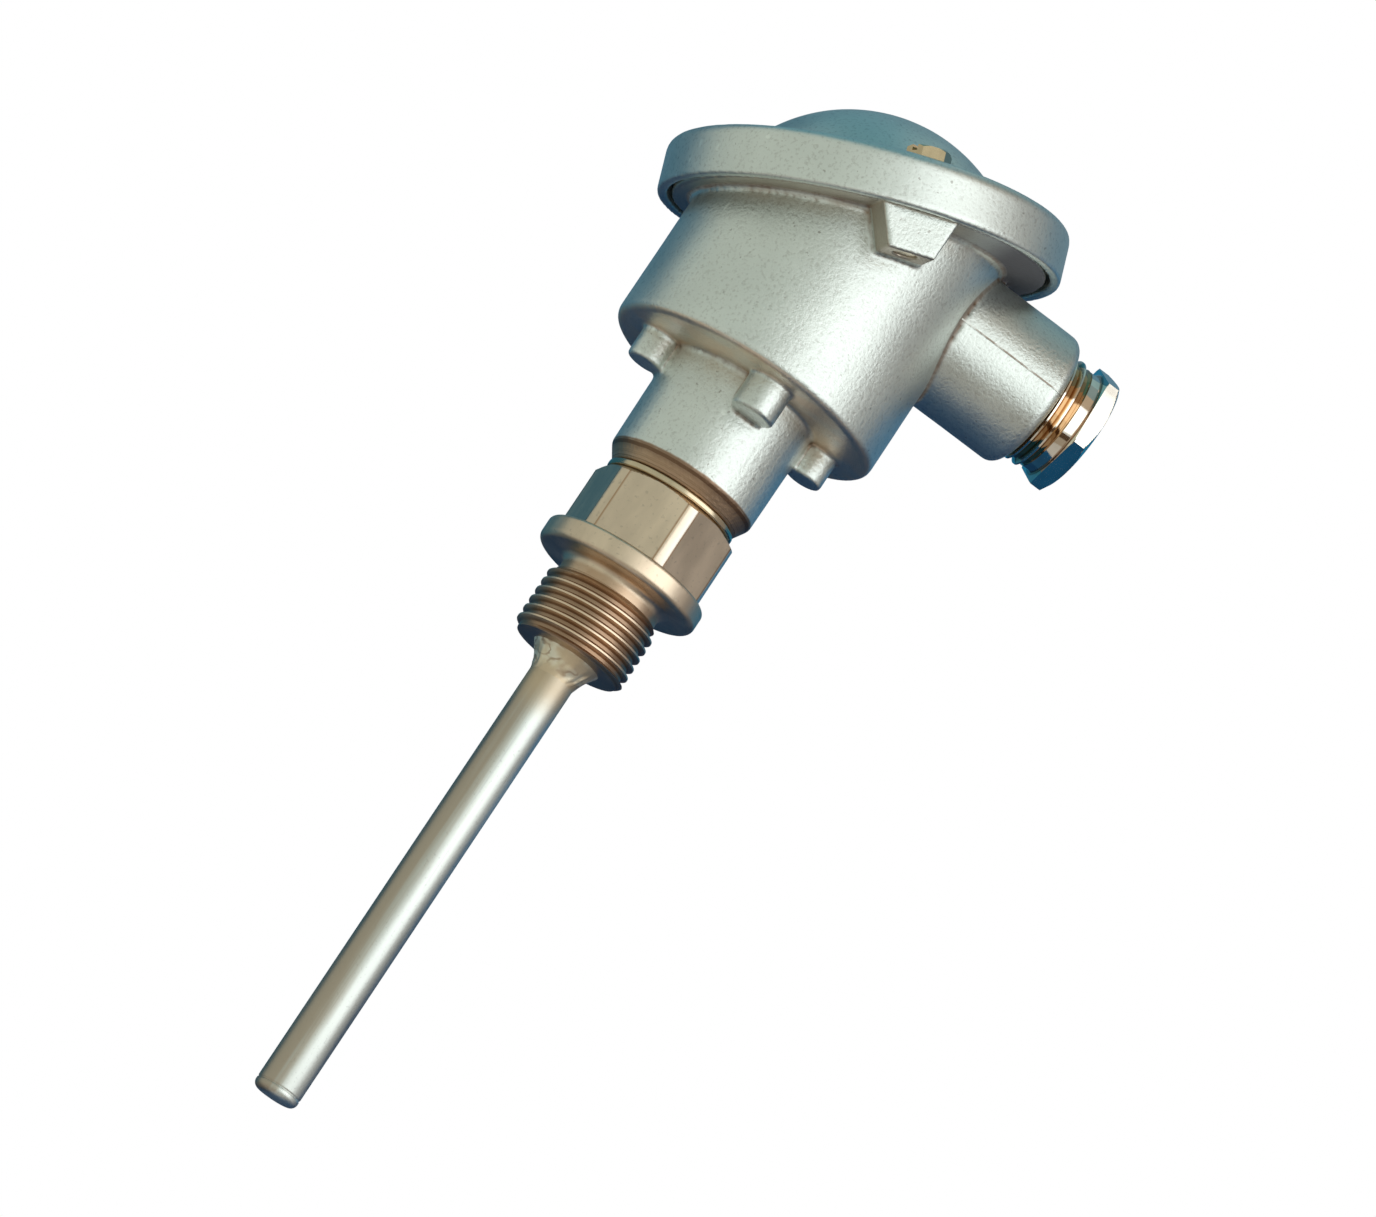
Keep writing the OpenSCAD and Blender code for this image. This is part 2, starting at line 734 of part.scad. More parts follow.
module insert_plate() {
    color(steel) translate([0, 0, floor_z]) difference() {
        cylinder(d = plate_d, h = plate_h);
        translate([0, 0, -eps]) cylinder(d = bush_d, h = plate_h + 1);
        for (side = [-1, 1]) {
            translate([side * boss_r, 0, -eps])
                cylinder(d = spring_screw_d + 2 * hole_gap, h = plate_h + 1);
            translate([0, side * block_screw_y, -eps]) cylinder(d = block_screw_d, h = plate_h + 1);
        }
    }
}

// Corner of the block, terminal or wire with number i
function corner(i) = [i % 2 == 0 ? -1 : 1, i < 2 ? -1 : 1];
function wire_xy(i) = [corner(i)[0] * wire_off, corner(i)[1] * wire_off];
function lead_screw_xy(i) = [corner(i)[0] * terminal_x, corner(i)[1] * (terminal_y - terminal_pitch / 2)];
function clamp_screw_xy(i) = [corner(i)[0] * terminal_x, corner(i)[1] * (terminal_y + terminal_pitch / 2)];

// Bare lead from the sensing element to the eyelet under its screw
module lead_wire(i) {
    low = concat(wire_xy(i), insulator_low);
    top = concat(wire_xy(i), block_top + 1.5);
    screw = lead_screw_xy(i);
    side = corner(i)[1];
    crest = [screw[0] * 0.66, side * 2.4, terminal_top + eyelet_h * 0.9];
    eye_r = terminal_head_d / 2 - 0.2;
    foot = [screw[0], screw[1] - side * eye_r * 0.8, terminal_top + eyelet_h / 2];
    color("silver") {
        rod(low, top, wire_d);
        rod(top, crest, wire_d);
        rod(crest, foot, wire_d);
        translate([screw[0], screw[1], terminal_top]) difference() {
            cylinder(r = eye_r, h = eyelet_h);
            translate([0, 0, -eps]) cylinder(d = terminal_screw_d + fit_gap, h = eyelet_h + 1);
        }
    }
}
module lead_wire_1() { lead_wire(0); }
module lead_wire_2() { lead_wire(1); }
module lead_wire_3() { lead_wire(2); }
module lead_wire_4() { lead_wire(3); }

// ---- terminal block ----

module terminal_block() {
    color("ivory") translate([0, 0, plate_top]) difference() {
        intersection() {
            cylinder(d = block_d, h = block_h);
            translate([-block_w / 2, -block_d, 0]) cube([block_w, 2 * block_d, block_h]);
        }
        translate([0, 0, -eps]) cylinder(d = bush_d + 2 + 2 * hole_gap, h = bush_h / 2 + 1);
        cylinder(d = wire_hole_d, h = big);
        for (i = [0 : 3]) translate([corner(i)[0] * terminal_x, corner(i)[1] * terminal_y, block_h])
            cube([terminal_w + 2 * fit_gap, terminal_l + 2 * fit_gap, 2 * pocket_h], center = true);
        for (side = [-1, 1]) translate([0, side * block_screw_y, -eps]) {
            cylinder(d = block_screw_d + 2 * hole_gap, h = big);
            translate([0, 0, block_h - block_screw_d]) cylinder(d = block_screw_head_d + 2 * fit_gap, h = big);
        }
    }
}

module terminal(i) {
    color(brass) difference() {
        translate([corner(i)[0] * terminal_x, corner(i)[1] * terminal_y, terminal_low + terminal_h / 2])
            cube([terminal_w, terminal_l, terminal_h], center = true);
        for (xy = [lead_screw_xy(i), clamp_screw_xy(i)]) translate(concat(xy, terminal_low + 1))
            cylinder(d = terminal_screw_d + fit_gap, h = terminal_h);
    }
}
module terminal_1() { terminal(0); }
module terminal_2() { terminal(1); }
module terminal_3() { terminal(2); }
module terminal_4() { terminal(3); }

// Screw on the sensor's side, above the eyelet
module lead_screw(i) {
    color(brass) translate(concat(lead_screw_xy(i), terminal_top + eyelet_h))
        round_screw(terminal_screw_d, terminal_h + eyelet_h - terminal_floor, terminal_head_d, terminal_head_h);
}
module lead_screw_1() { lead_screw(0); }
module lead_screw_2() { lead_screw(1); }
module lead_screw_3() { lead_screw(2); }
module lead_screw_4() { lead_screw(3); }

// Screw on the cable's side, on the terminal itself
module clamp_screw(i) {
    color(brass) translate(concat(clamp_screw_xy(i), terminal_top))
        round_screw(terminal_screw_d, terminal_h - terminal_floor, terminal_head_d, terminal_head_h);
}
module clamp_screw_1() { clamp_screw(0); }
module clamp_screw_2() { clamp_screw(1); }
module clamp_screw_3() { clamp_screw(2); }
module clamp_screw_4() { clamp_screw(3); }

module block_screw(side) {
    head_h = block_screw_d * 0.7;
    color("silver") translate([0, side * block_screw_y, block_top - block_screw_d])
        round_screw(block_screw_d, block_h - block_screw_d + plate_h, block_screw_head_d, head_h);
}
module block_screw_1() { block_screw(-1); }
module block_screw_2() { block_screw(1); }

// ---- spring screws and springs ----

module spring_screw(side) {
    color("silver") translate([side * boss_r, 0, spring_head_z])
        round_screw(spring_screw_d, spring_len + plate_h + spring_thread_len, spring_head_d, spring_head_h);
}
module spring_screw_1() { spring_screw(-1); }
module spring_screw_2() { spring_screw(1); }

// Helical spring swept as one closed tube, between the plate and the screw's head
module insert_spring(side) {
    per_turn = 14;
    sides = 6;
    rings = spring_turns * per_turn;
    rise = spring_len - spring_wire_d - 0.1;
    points = [for (k = [0 : rings]) let (turn = 360 * k / per_turn) for (s = [0 : sides - 1])
        let (
            a = 360 * s / sides,
            r = (spring_mean_d + spring_wire_d * cos(a)) / 2,
            z = spring_wire_d / 2 + 0.05 + rise * k / rings + spring_wire_d / 2 * sin(a)
        ) [r * cos(turn), r * sin(turn), z]];
    walls = [for (k = [0 : rings - 1], s = [0 : sides - 1]) let (n = (s + 1) % sides)
        [k * sides + s, (k + 1) * sides + s, (k + 1) * sides + n, k * sides + n]];
    ends = [[for (s = [0 : sides - 1]) s], [for (s = [sides - 1 : -1 : 0]) rings * sides + s]];
    color("silver") translate([side * boss_r, 0, plate_top]) polyhedron(points, concat(walls, ends));
}
module insert_spring_1() { insert_spring(-1); }
module insert_spring_2() { insert_spring(1); }

// ---- earth terminal ----

// Places children at the earth pad, with z pointing to the axis
module earth_frame() {
    rotate(earth_turn) translate([earth_pad_r, 0, body_z + earth_rise]) rotate([0, -90, 0]) children();
}

module earth_screw() {
    color(brass) earth_frame() translate([0, 0, eyelet_h])
        round_screw(earth_d, cavity_r - earth_pad_r + eyelet_h + 0.6, earth_pad_d - 1.6, earth_head_h);
}

module earth_washer() {
    color(brass) earth_frame() difference() {
        cylinder(d = earth_pad_d - 0.6, h = eyelet_h);
        translate([0, 0, -eps]) cylinder(d = earth_d + 2 * fit_gap, h = eyelet_h + 1);
    }
}

process_fitting();
stem_tube();
stem_weld();
tip_plug();
neck_seal_ring();
head_body();
head_cover();
cover_gasket();
cover_screw_front();
cover_screw_rear();
gland_screw();
gland_thrust_ring();
gland_seal();
insert_sheath();
insert_insulator();
sensing_element();
insert_bush();
insert_plate();
lead_wire_1();
lead_wire_2();
lead_wire_3();
lead_wire_4();
terminal_block();
terminal_1();
terminal_2();
terminal_3();
terminal_4();
lead_screw_1();
lead_screw_2();
lead_screw_3();
lead_screw_4();
clamp_screw_1();
clamp_screw_2();
clamp_screw_3();
clamp_screw_4();
block_screw_1();
block_screw_2();
spring_screw_1();
spring_screw_2();
insert_spring_1();
insert_spring_2();
earth_screw();
earth_washer();
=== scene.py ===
"""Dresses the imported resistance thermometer: rounded castings, cut threads, weld bead, finishes and stage."""

import math

import bmesh
import bpy
from mathutils import Matrix, Vector, noise


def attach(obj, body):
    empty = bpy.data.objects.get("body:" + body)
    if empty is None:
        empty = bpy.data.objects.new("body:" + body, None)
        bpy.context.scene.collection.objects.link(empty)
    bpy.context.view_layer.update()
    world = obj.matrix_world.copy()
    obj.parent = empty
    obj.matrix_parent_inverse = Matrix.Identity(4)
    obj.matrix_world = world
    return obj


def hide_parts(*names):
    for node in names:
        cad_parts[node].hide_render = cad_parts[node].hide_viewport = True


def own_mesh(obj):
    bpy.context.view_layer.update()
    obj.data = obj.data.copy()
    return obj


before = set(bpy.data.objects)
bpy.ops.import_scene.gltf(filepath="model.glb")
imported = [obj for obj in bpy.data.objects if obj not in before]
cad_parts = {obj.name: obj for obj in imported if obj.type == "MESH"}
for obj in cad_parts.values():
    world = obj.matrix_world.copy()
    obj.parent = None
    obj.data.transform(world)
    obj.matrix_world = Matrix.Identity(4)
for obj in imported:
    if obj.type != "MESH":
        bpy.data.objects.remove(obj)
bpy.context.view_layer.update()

bl_info = {
    "name": "Resistance thermometer looks",
    "version": (1, 0, 0),
    "blender": (4, 5, 0),
    "location": "3D View > Sidebar > Thermometer",
    "description": "Builds the looks of a resistance thermometer with connection head round its solids",
    "category": "Object",
}

MM = 0.001

# Sizes of the solids, in millimetres, in the part's own frame
TUBE_R = 4.0
TUBE_BORE_R = 3.25
TIP_Z = -101.6
TIP_ROUND = 1.2
PLUG_TOP = -100.0
THREAD_END = -14.6
CREST_R = 10.4775
UNDERCUT_Z = -2.8
UNDERCUT_R = 9.3
COVE_R = 1.5
COLLAR_R = 15.0
COLLAR_H = 4.0
COLLAR_LOW_ROUND = 1.2
COLLAR_TOP_ROUND = 0.72
HEX_TOP = 16.5
HEX_AF = 24.0
HEX_CORNER_R = 13.4
SPIGOT_R = 10.95
SPIGOT_TOP = 29.5
SPIGOT_CHAMFER = 0.6
SOCKET_R = 5.0
ENTRY_Z = 69.0
ENTRY_R = 12.8
ENTRY_END = 43.4
ENTRY_ROUND = 2.2
BODY_R = 25.0
BODY_Z = 39.2
GLAND_START = 37.05
GLAND_GROOVE = 47.35
GLAND_HEX = 49.35
GLAND_END = 52.45
GLAND_R = 10.4
GLAND_GROOVE_R = 9.8
GLAND_AF = 21.5
GLAND_CHAMFER_H = 1.0
GLAND_BORE_R = 6.25
GLAND_MOUTH = 0.8
LID_CENTRE = Vector((1.8794, 0.0, 73.0377))
SCREW_R = 28.8
SPRING_WIRE_R = 0.4

# Turns of the hexagons about their axes, in degrees, and two slopes, in radians
HEX_TURN = -114
GLAND_TURN = 23
HEX_CHAMFER = math.radians(30)
LID_TILT = math.radians(20)

# Sizes that only the looks have, in millimetres
WELD_LENGTH = 4.7
WELD_LEG = 2.25
SEAM_HALF_WIDTH = 0.17
SKIN_WAVE = 5
SKIN_DEPTH = 0.025

# Counts of what the shapes are made of
CAST_TRIANGLES = 180000
SOFTENING_STEPS = 3
SPRING_TURNS = 6
SPRING_SIDES = 10
SPRING_STEPS = 28
FLAT_STEPS = 26
TUBE_SIDES = 96

# Points closer than this are one, in metres
SAME_POINT = 1e-7


# ---- settings ----

class ProbeSizes(bpy.types.PropertyGroup):
    """Sizes of the details that the solids leave out."""

    pipe_pitch: bpy.props.FloatProperty(
        name="Pipe thread pitch", description="Distance between two crests of the process thread",
        default=1.814 * MM, min=1 * MM, max=3 * MM, precision=5, unit="LENGTH")
    pipe_depth: bpy.props.FloatProperty(
        name="Pipe thread depth", description="Depth of the process thread's grooves",
        default=0.95 * MM, min=0.5 * MM, max=1.5 * MM, precision=5, unit="LENGTH")
    gland_pitch: bpy.props.FloatProperty(
        name="Gland thread pitch", description="Distance between two crests of the gland's thread",
        default=1.814 * MM, min=1 * MM, max=2 * MM, precision=5, unit="LENGTH")
    gland_depth: bpy.props.FloatProperty(
        name="Gland thread depth", description="Depth of the gland thread's grooves",
        default=0.9 * MM, min=0.4 * MM, max=1.2 * MM, precision=5, unit="LENGTH")
    cast_cell: bpy.props.FloatProperty(
        name="Casting cell", description="Cell size with which the castings are rounded",
        default=0.38 * MM, min=0.35 * MM, max=1 * MM, precision=5, unit="LENGTH")
    weld_ripples: bpy.props.IntProperty(
        name="Weld ripples", description="Ripples round the weld bead", default=17, min=8, max=40)


class ProbeColours(bpy.types.PropertyGroup):
    """Colours of the finishes."""

    cast: bpy.props.FloatVectorProperty(
        name="Casting", description="Sand-finish aluminium", default=(0.72, 0.76, 0.72),
        subtype="COLOR", min=0, max=1)
    steel: bpy.props.FloatVectorProperty(
        name="Steel", description="Turned stainless steel", default=(0.75, 0.61, 0.46),
        subtype="COLOR", min=0, max=1)
    tube: bpy.props.FloatVectorProperty(
        name="Tube", description="Drawn stainless tube", default=(0.73, 0.76, 0.72),
        subtype="COLOR", min=0, max=1)
    nickel: bpy.props.FloatVectorProperty(
        name="Nickel", description="Nickel-plated brass", default=(0.93, 0.87, 0.76),
        subtype="COLOR", min=0, max=1)
    brass: bpy.props.FloatVectorProperty(
        name="Brass", description="Bare brass", default=(0.80, 0.58, 0.28),
        subtype="COLOR", min=0, max=1)
    zinc: bpy.props.FloatVectorProperty(
        name="Zinc", description="Zinc-plated steel", default=(0.66, 0.68, 0.70),
        subtype="COLOR", min=0, max=1)
    ceramic: bpy.props.FloatVectorProperty(
        name="Ceramic", description="Unglazed ceramic", default=(0.84, 0.81, 0.74),
        subtype="COLOR", min=0, max=1)
    rubber: bpy.props.FloatVectorProperty(
        name="Rubber", description="Black rubber", default=(0.03, 0.03, 0.032),
        subtype="COLOR", min=0, max=1)


def sizes():
    return bpy.context.scene.probe_sizes


def colours():
    return bpy.context.scene.probe_colours


# ---- finishes ----

MIX_FACTOR, MIX_FIRST, MIX_SECOND, MIX_RESULT = 0, 6, 7, 2


class Wire:
    """A node's output with Python's operators, so that shader maths reads as an expression."""

    def __init__(self, nodes, socket):
        self.nodes = nodes
        self.socket = socket

    def math(self, operation, *values):
        return self.nodes.node("ShaderNodeMath", {"operation": operation}, dict(enumerate(values)))

    def __add__(self, other):
        return self.math("ADD", self, other)

    def __sub__(self, other):
        return self.math("SUBTRACT", self, other)

    def __rsub__(self, other):
        return self.math("SUBTRACT", other, self)

    def __mul__(self, other):
        return self.math("MULTIPLY", self, other)

    def __truediv__(self, other):
        return self.math("DIVIDE", self, other)

    def __pow__(self, other):
        return self.math("POWER", self, other)

    __radd__ = __add__
    __rmul__ = __mul__

    def absolute(self):
        return self.math("ABSOLUTE", self)

    def larger(self, other):
        return self.math("MAXIMUM", self, other)

    def step(self, low, high):
        """Rises smoothly from 0 at low to 1 at high."""
        return self.nodes.node(
            "ShaderNodeMapRange", {"interpolation_type": "SMOOTHSTEP"},
            {"Value": self, "From Min": low, "From Max": high})


class Nodes:
    """A node tree whose nodes all come from one method."""

    def __init__(self, tree):
        self.tree = tree

    def node(self, kind, settings=None, inputs=None, out=0):
        """Makes a node, sets it, feeds its sockets and returns one of its outputs, if it has any."""
        made = self.tree.nodes.new(kind)
        for key, value in (settings or {}).items():
            setattr(made, key, value)
        for key, value in (inputs or {}).items():
            self.feed(made.inputs[key], value)
        return Wire(self, made.outputs[out]) if made.outputs else None

    def feed(self, socket, value):
        if isinstance(value, Wire):
            self.tree.links.new(value.socket, socket)
        elif socket.type == "RGBA":
            socket.default_value = (*value[:3], 1.0)
        else:
            socket.default_value = value


class Finish(Nodes):
    """A procedural material built round one metal or plastic shader."""

    def __init__(self, name, **constants):
        self.material = bpy.data.materials.new(name)
        self.material.use_nodes = True
        super().__init__(self.material.node_tree)
        self.shader = self.tree.nodes["Principled BSDF"]
        for socket, value in constants.items():
            self.shader.inputs[socket.replace("_", " ")].default_value = value
        self.place = self.node("ShaderNodeTexCoord", out="Object")
        split = self.node("ShaderNodeSeparateXYZ", inputs={"Vector": self.place}).socket.node
        self.x, self.y, self.z = (Wire(self, s) for s in split.outputs)

    def set(self, **inputs):
        for key, value in inputs.items():
            self.feed(self.shader.inputs[key.replace("_", " ")], value)
        return self

    def grain(self, size, detail, stretch=None, roughness=0.5, seed=0.0):
        """Noise whose features are about size metres wide, stretched along the axes by stretch."""
        place = self.place
        if stretch or seed:
            place = self.node(
                "ShaderNodeMapping",
                inputs={"Vector": place, "Location": (seed, seed, seed), "Scale": stretch or (1, 1, 1)})
        return self.node(
            "ShaderNodeTexNoise", {"noise_dimensions": "3D"},
            {"Vector": place, "Scale": 0.5 / size, "Detail": detail, "Roughness": roughness})

    def rings(self, along, size, detail):
        """Noise that varies along one coordinate only, as a lathe tool leaves it."""
        return self.node(
            "ShaderNodeTexNoise", {"noise_dimensions": "1D"},
            {"W": along, "Scale": 0.5 / size, "Detail": detail})

    def blend(self, factor, first, second):
        """Mixes two colours, by the numbers that a mix node's sockets for colours have."""
        inputs = {MIX_FACTOR: factor, MIX_FIRST: first, MIX_SECOND: second}
        return self.node("ShaderNodeMix", {"data_type": "RGBA"}, inputs, out=MIX_RESULT)

    def bump(self, height, depth, strength):
        """Raises the surface by height times depth metres."""
        inputs = {"Height": height, "Distance": depth, "Strength": strength}
        return self.set(Normal=self.node("ShaderNodeBump", inputs=inputs, out="Normal"))


def across(first, second):
    """Distance from an axis, from the two coordinates across it."""
    return (first * first + second * second) ** 0.5


def shade(colour, factor):
    return tuple(min(1.0, part * factor) for part in colour[:3])


def tint(colour, other, amount):
    return tuple(a + (b - a) * amount for a, b in zip(colour[:3], other[:3]))


# Colours of dirt, worn metal and heat, and of painted shade and painted highlights
DIRT_AND_SHADE = (0.16, 0.09, 0.05)
STRAW = (0.62, 0.46, 0.24)
BROWN_SHADE = (0.44, 0.35, 0.26)
COPPERY = (0.52, 0.33, 0.20)
BROWNED = (0.64, 0.51, 0.35)
GROOVE_SHADE = (0.30, 0.13, 0.04)
ENTRY_CREASE_SHADE = (0.15, 0.085, 0.045)
FLANGE_CREASE_SHADE = (0.11, 0.055, 0.035)
FLANGE_SHADE = (0.065, 0.06, 0.075)
UNDERSIDE_HIGHLIGHT = (0.90, 0.70, 0.52)
CONE_BROWN = (0.50, 0.32, 0.19)
CONE_SHADE = (0.17, 0.10, 0.07)
CONE_PALE = (0.85, 0.76, 0.60)
SCREW_SHADOW = (0.22, 0.10, 0.05)
ROOT_SHADE = (0.22, 0.12, 0.07)
CREST_HIGHLIGHT = (0.92, 0.74, 0.56)
COLLAR_CORNER_SHADE = (0.30, 0.15, 0.08)
CORNER_BROWN = (0.36, 0.18, 0.08)
CORNER_HIGHLIGHT = (0.80, 0.79, 0.73)
WELD_TAN = (0.74, 0.61, 0.42)
WELD_CREAM = (0.90, 0.86, 0.70)
WELD_BROWN = (0.36, 0.21, 0.11)
GLAND_GOLD = (0.85, 0.55, 0.25)
RUBBER_BLOOM = (0.09, 0.09, 0.095)


def cast_finish(name, skin=1.0):
    """Sand-finish die casting: fine grain, soft clouds, pale worn edges that are partly a painted highlight,
    and brown painted shade in the creases.
    """
    f = Finish(name, Metallic=1.0)
    base = colours().cast
    grain = f.grain(0.30 * MM, 2.0, roughness=0.6)
    coarse = f.grain(0.9 * MM, 2.0, seed=0.4)
    cloud = f.grain(7 * MM, 3.0, seed=0.9)
    pit = f.grain(0.5 * MM, 2.0, seed=1.9)
    edge = f.node("ShaderNodeNewGeometry", out="Pointiness")
    colour = f.blend(cloud.step(0.35, 0.7), shade(base, 0.95), shade(base, 1.04))
    colour = f.blend(grain.step(0.50, 0.28) * 0.35, colour, tint(shade(base, 0.65), DIRT_AND_SHADE, 0.35))
    colour = f.blend(pit.step(0.31, 0.24) * 0.55, colour, tint(shade(base, 0.45), DIRT_AND_SHADE, 0.5))
    # Painted shade: concave creases are darkened towards brown
    colour = f.blend((edge + (coarse - 0.5) * 0.03).step(0.49, 0.45) * 0.85, colour, DIRT_AND_SHADE)
    # Pale convex edges: wear, and partly a painted highlight
    colour = f.blend(edge.step(0.57, 0.63) * 0.5, colour, shade(base, 1.28))
    f.set(Base_Color=colour, Roughness=0.34 + 0.10 * grain + 0.05 * cloud)
    return f.bump(grain + coarse * 0.3, 0.085 * skin * MM, 0.9)


def lay_stain_and_painted_light(f, mask, amount, colour=DIRT_AND_SHADE, dull=0.0):
    """Lays a colour over a finish's colour where the mask is 1: dirt and stains in some places, painted shade
    and painted highlights in others. A dull layer hides the metal's gloss.
    """
    base, metal, rough = (
        Wire(f, socket.links[0].from_socket) if socket.links else socket.default_value
        for socket in (f.shader.inputs[name] for name in ("Base Color", "Metallic", "Roughness")))
    f.set(Base_Color=f.blend(mask * amount, base, colour))
    if dull:
        f.set(Metallic=metal * (1 - mask * dull), Roughness=rough + mask * (0.35 * dull))


def lid_place(f):
    """Places along the lid's slope and axis, from the lid's centre."""
    x, z = f.x - LID_CENTRE.x * MM, f.z - LID_CENTRE.z * MM
    cosine, sine = math.cos(LID_TILT), math.sin(LID_TILT)
    return x * cosine + z * sine, z * cosine - x * sine


def body_finish():
    """The casting's finish with brown painted shade in its creases, under its flange, under the lid's rim and
    on the neck's top, a painted highlight on its underside, and a bare turned cone at the neck's lower end,
    painted darker towards the neck's edge.
    """
    f = cast_finish("cast_aluminium_body")
    waver = f.grain(1.4 * MM, 2.0, seed=2.0) - 0.5
    patches = f.grain(3.5 * MM, 3.0, seed=3.0).step(0.35, 0.62)
    radius = across(f.x, f.y)
    entry_r = across(f.y, f.z - ENTRY_Z * MM)
    lid_z = lid_place(f)[1]

    # Painted shade: brown darkening in the crease where the cable entry meets the body
    entry_crease_shade = (radius - BODY_R * MM).absolute().step(0.9 * MM, 0.2 * MM)
    entry_crease_shade = entry_crease_shade * (entry_r - ENTRY_R * MM).absolute().step(0.8 * MM, 0.3 * MM) * f.x.step(10 * MM, 14 * MM)
    lay_stain_and_painted_light(f, entry_crease_shade * (0.7 + 0.3 * patches), 0.75, ENTRY_CREASE_SHADE, 0.35)

    # Painted shade: dark line in the crease where the flange meets the body's wall
    crease = (lid_z - 0.1 * MM + waver * 0.3 * MM).absolute().step(0.40 * MM, 0.15 * MM)
    crease = crease * radius.step(24 * MM, 24.6 * MM) * radius.step(26.4 * MM, 25.8 * MM)
    lay_stain_and_painted_light(f, crease * (0.5 + 0.5 * patches), 0.8, FLANGE_CREASE_SHADE, 0.4)

    # Painted shade: the flange's underside is darkened, brown towards -X and near black above the cable entry
    underside_shade = (lid_z - 0.2 * MM).absolute().step(0.5 * MM, 0.2 * MM) * radius.step(25.6 * MM, 26.2 * MM)
    lay_stain_and_painted_light(f, underside_shade * f.x.step(16 * MM, 8 * MM), 0.6, BROWN_SHADE)
    lay_stain_and_painted_light(f, underside_shade * f.x.step(8 * MM, 22 * MM), 0.92, FLANGE_SHADE, 0.8)

    # Painted shadow: patchy brown band on the body's wall just under the flange
    under_flange_shade = lid_z.step(-4.5 * MM, -0.5 * MM) * lid_z.step(0.1 * MM, 0.0) * patches
    lay_stain_and_painted_light(f, under_flange_shade * radius.step(26 * MM, 25.4 * MM), 0.35, BROWN_SHADE)

    # Painted shade: the lug under the lid's rim is tinted brown
    lug_shade = (0 - f.y).step(25.6 * MM, 26.2 * MM) * lid_z.step(0.2 * MM, 0.0)
    lay_stain_and_painted_light(f, lug_shade * (0 - f.y).step(32.1 * MM, 31.9 * MM), 0.75, BROWN_SHADE)

    # Painted shade: patchy brown on the neck, darker towards the body's underside
    neck_top_shade = f.z.step((BODY_Z - 4.5) * MM, (BODY_Z - 0.3) * MM) * radius.step(17.5 * MM, 16.5 * MM)
    lay_stain_and_painted_light(f, neck_top_shade * (0.3 + 0.7 * patches), 0.55, BROWN_SHADE)

    # Painted highlight: pale warm tint on the body's underside outward of the neck
    underside_highlight = f.z.step((BODY_Z + 0.8) * MM, (BODY_Z + 0.4) * MM) * radius.step(14 * MM, 14.8 * MM)
    underside_highlight = underside_highlight * f.z.step((BODY_Z - 0.4) * MM, (BODY_Z - 0.1) * MM)
    lay_stain_and_painted_light(f, underside_highlight * (0.5 + 0.5 * patches), 0.8, UNDERSIDE_HIGHLIGHT)

    cone = (f.z + waver * 0.4 * MM).step(21.0 * MM, 20.6 * MM)
    scores = f.rings(f.z + waver * 0.2 * MM, 0.3 * MM, 2.0)
    lay_stain_and_painted_light(f, cone, 0.9, CONE_BROWN)
    # Painted shade: the cone is darkened towards the neck's edge
    lay_stain_and_painted_light(f, cone * (f.z + waver * 0.8 * MM).step(18.9 * MM, 20.3 * MM), 0.6, CONE_SHADE)
    lay_stain_and_painted_light(f, cone * scores.step(0.48, 0.36), 0.7)
    lay_stain_and_painted_light(f, cone * scores.step(0.62, 0.74) * waver.step(-0.05, 0.1), 0.7, CONE_PALE)
    return f


def cover_finish():
    """The lid's smoother skin, with painted shadow rings round its screws."""
    f = cast_finish("cast_aluminium_cover", 0.45)
    lid_x, lid_z = lid_place(f)
    off = f.y.absolute() - SCREW_R * MM
    ring = across(lid_x, off)
    # Painted shadow: dark brown rings round the screw heads
    lay_stain_and_painted_light(f, ring.step(5.2 * MM, 4.2 * MM) * lid_z.step(6 * MM, 7 * MM), 0.75, SCREW_SHADOW)
    return f


def steel_finish(name, base, rough):
    """Turned stainless steel with tool rings, light smears and fine specks."""
    f = Finish(name, Metallic=1.0)
    rings = f.rings(f.z, 0.06 * MM, 3.0)
    smear = f.grain(2.2 * MM, 3.0, stretch=(1, 1, 0.35), seed=0.3)
    speck = f.grain(0.35 * MM, 2.0, seed=1.1)
    tone = f.blend(smear.step(0.30, 0.72), shade(base, 0.86), shade(base, 1.10))
    tone = f.blend(speck.step(0.40, 0.25) * 0.4, tone, shade(base, 0.55))
    f.set(Base_Color=tone, Roughness=rough + 0.12 * smear + 0.08 * rings)
    return f.bump(rings * 0.6 + speck * 0.5, 0.012 * MM, 0.7)


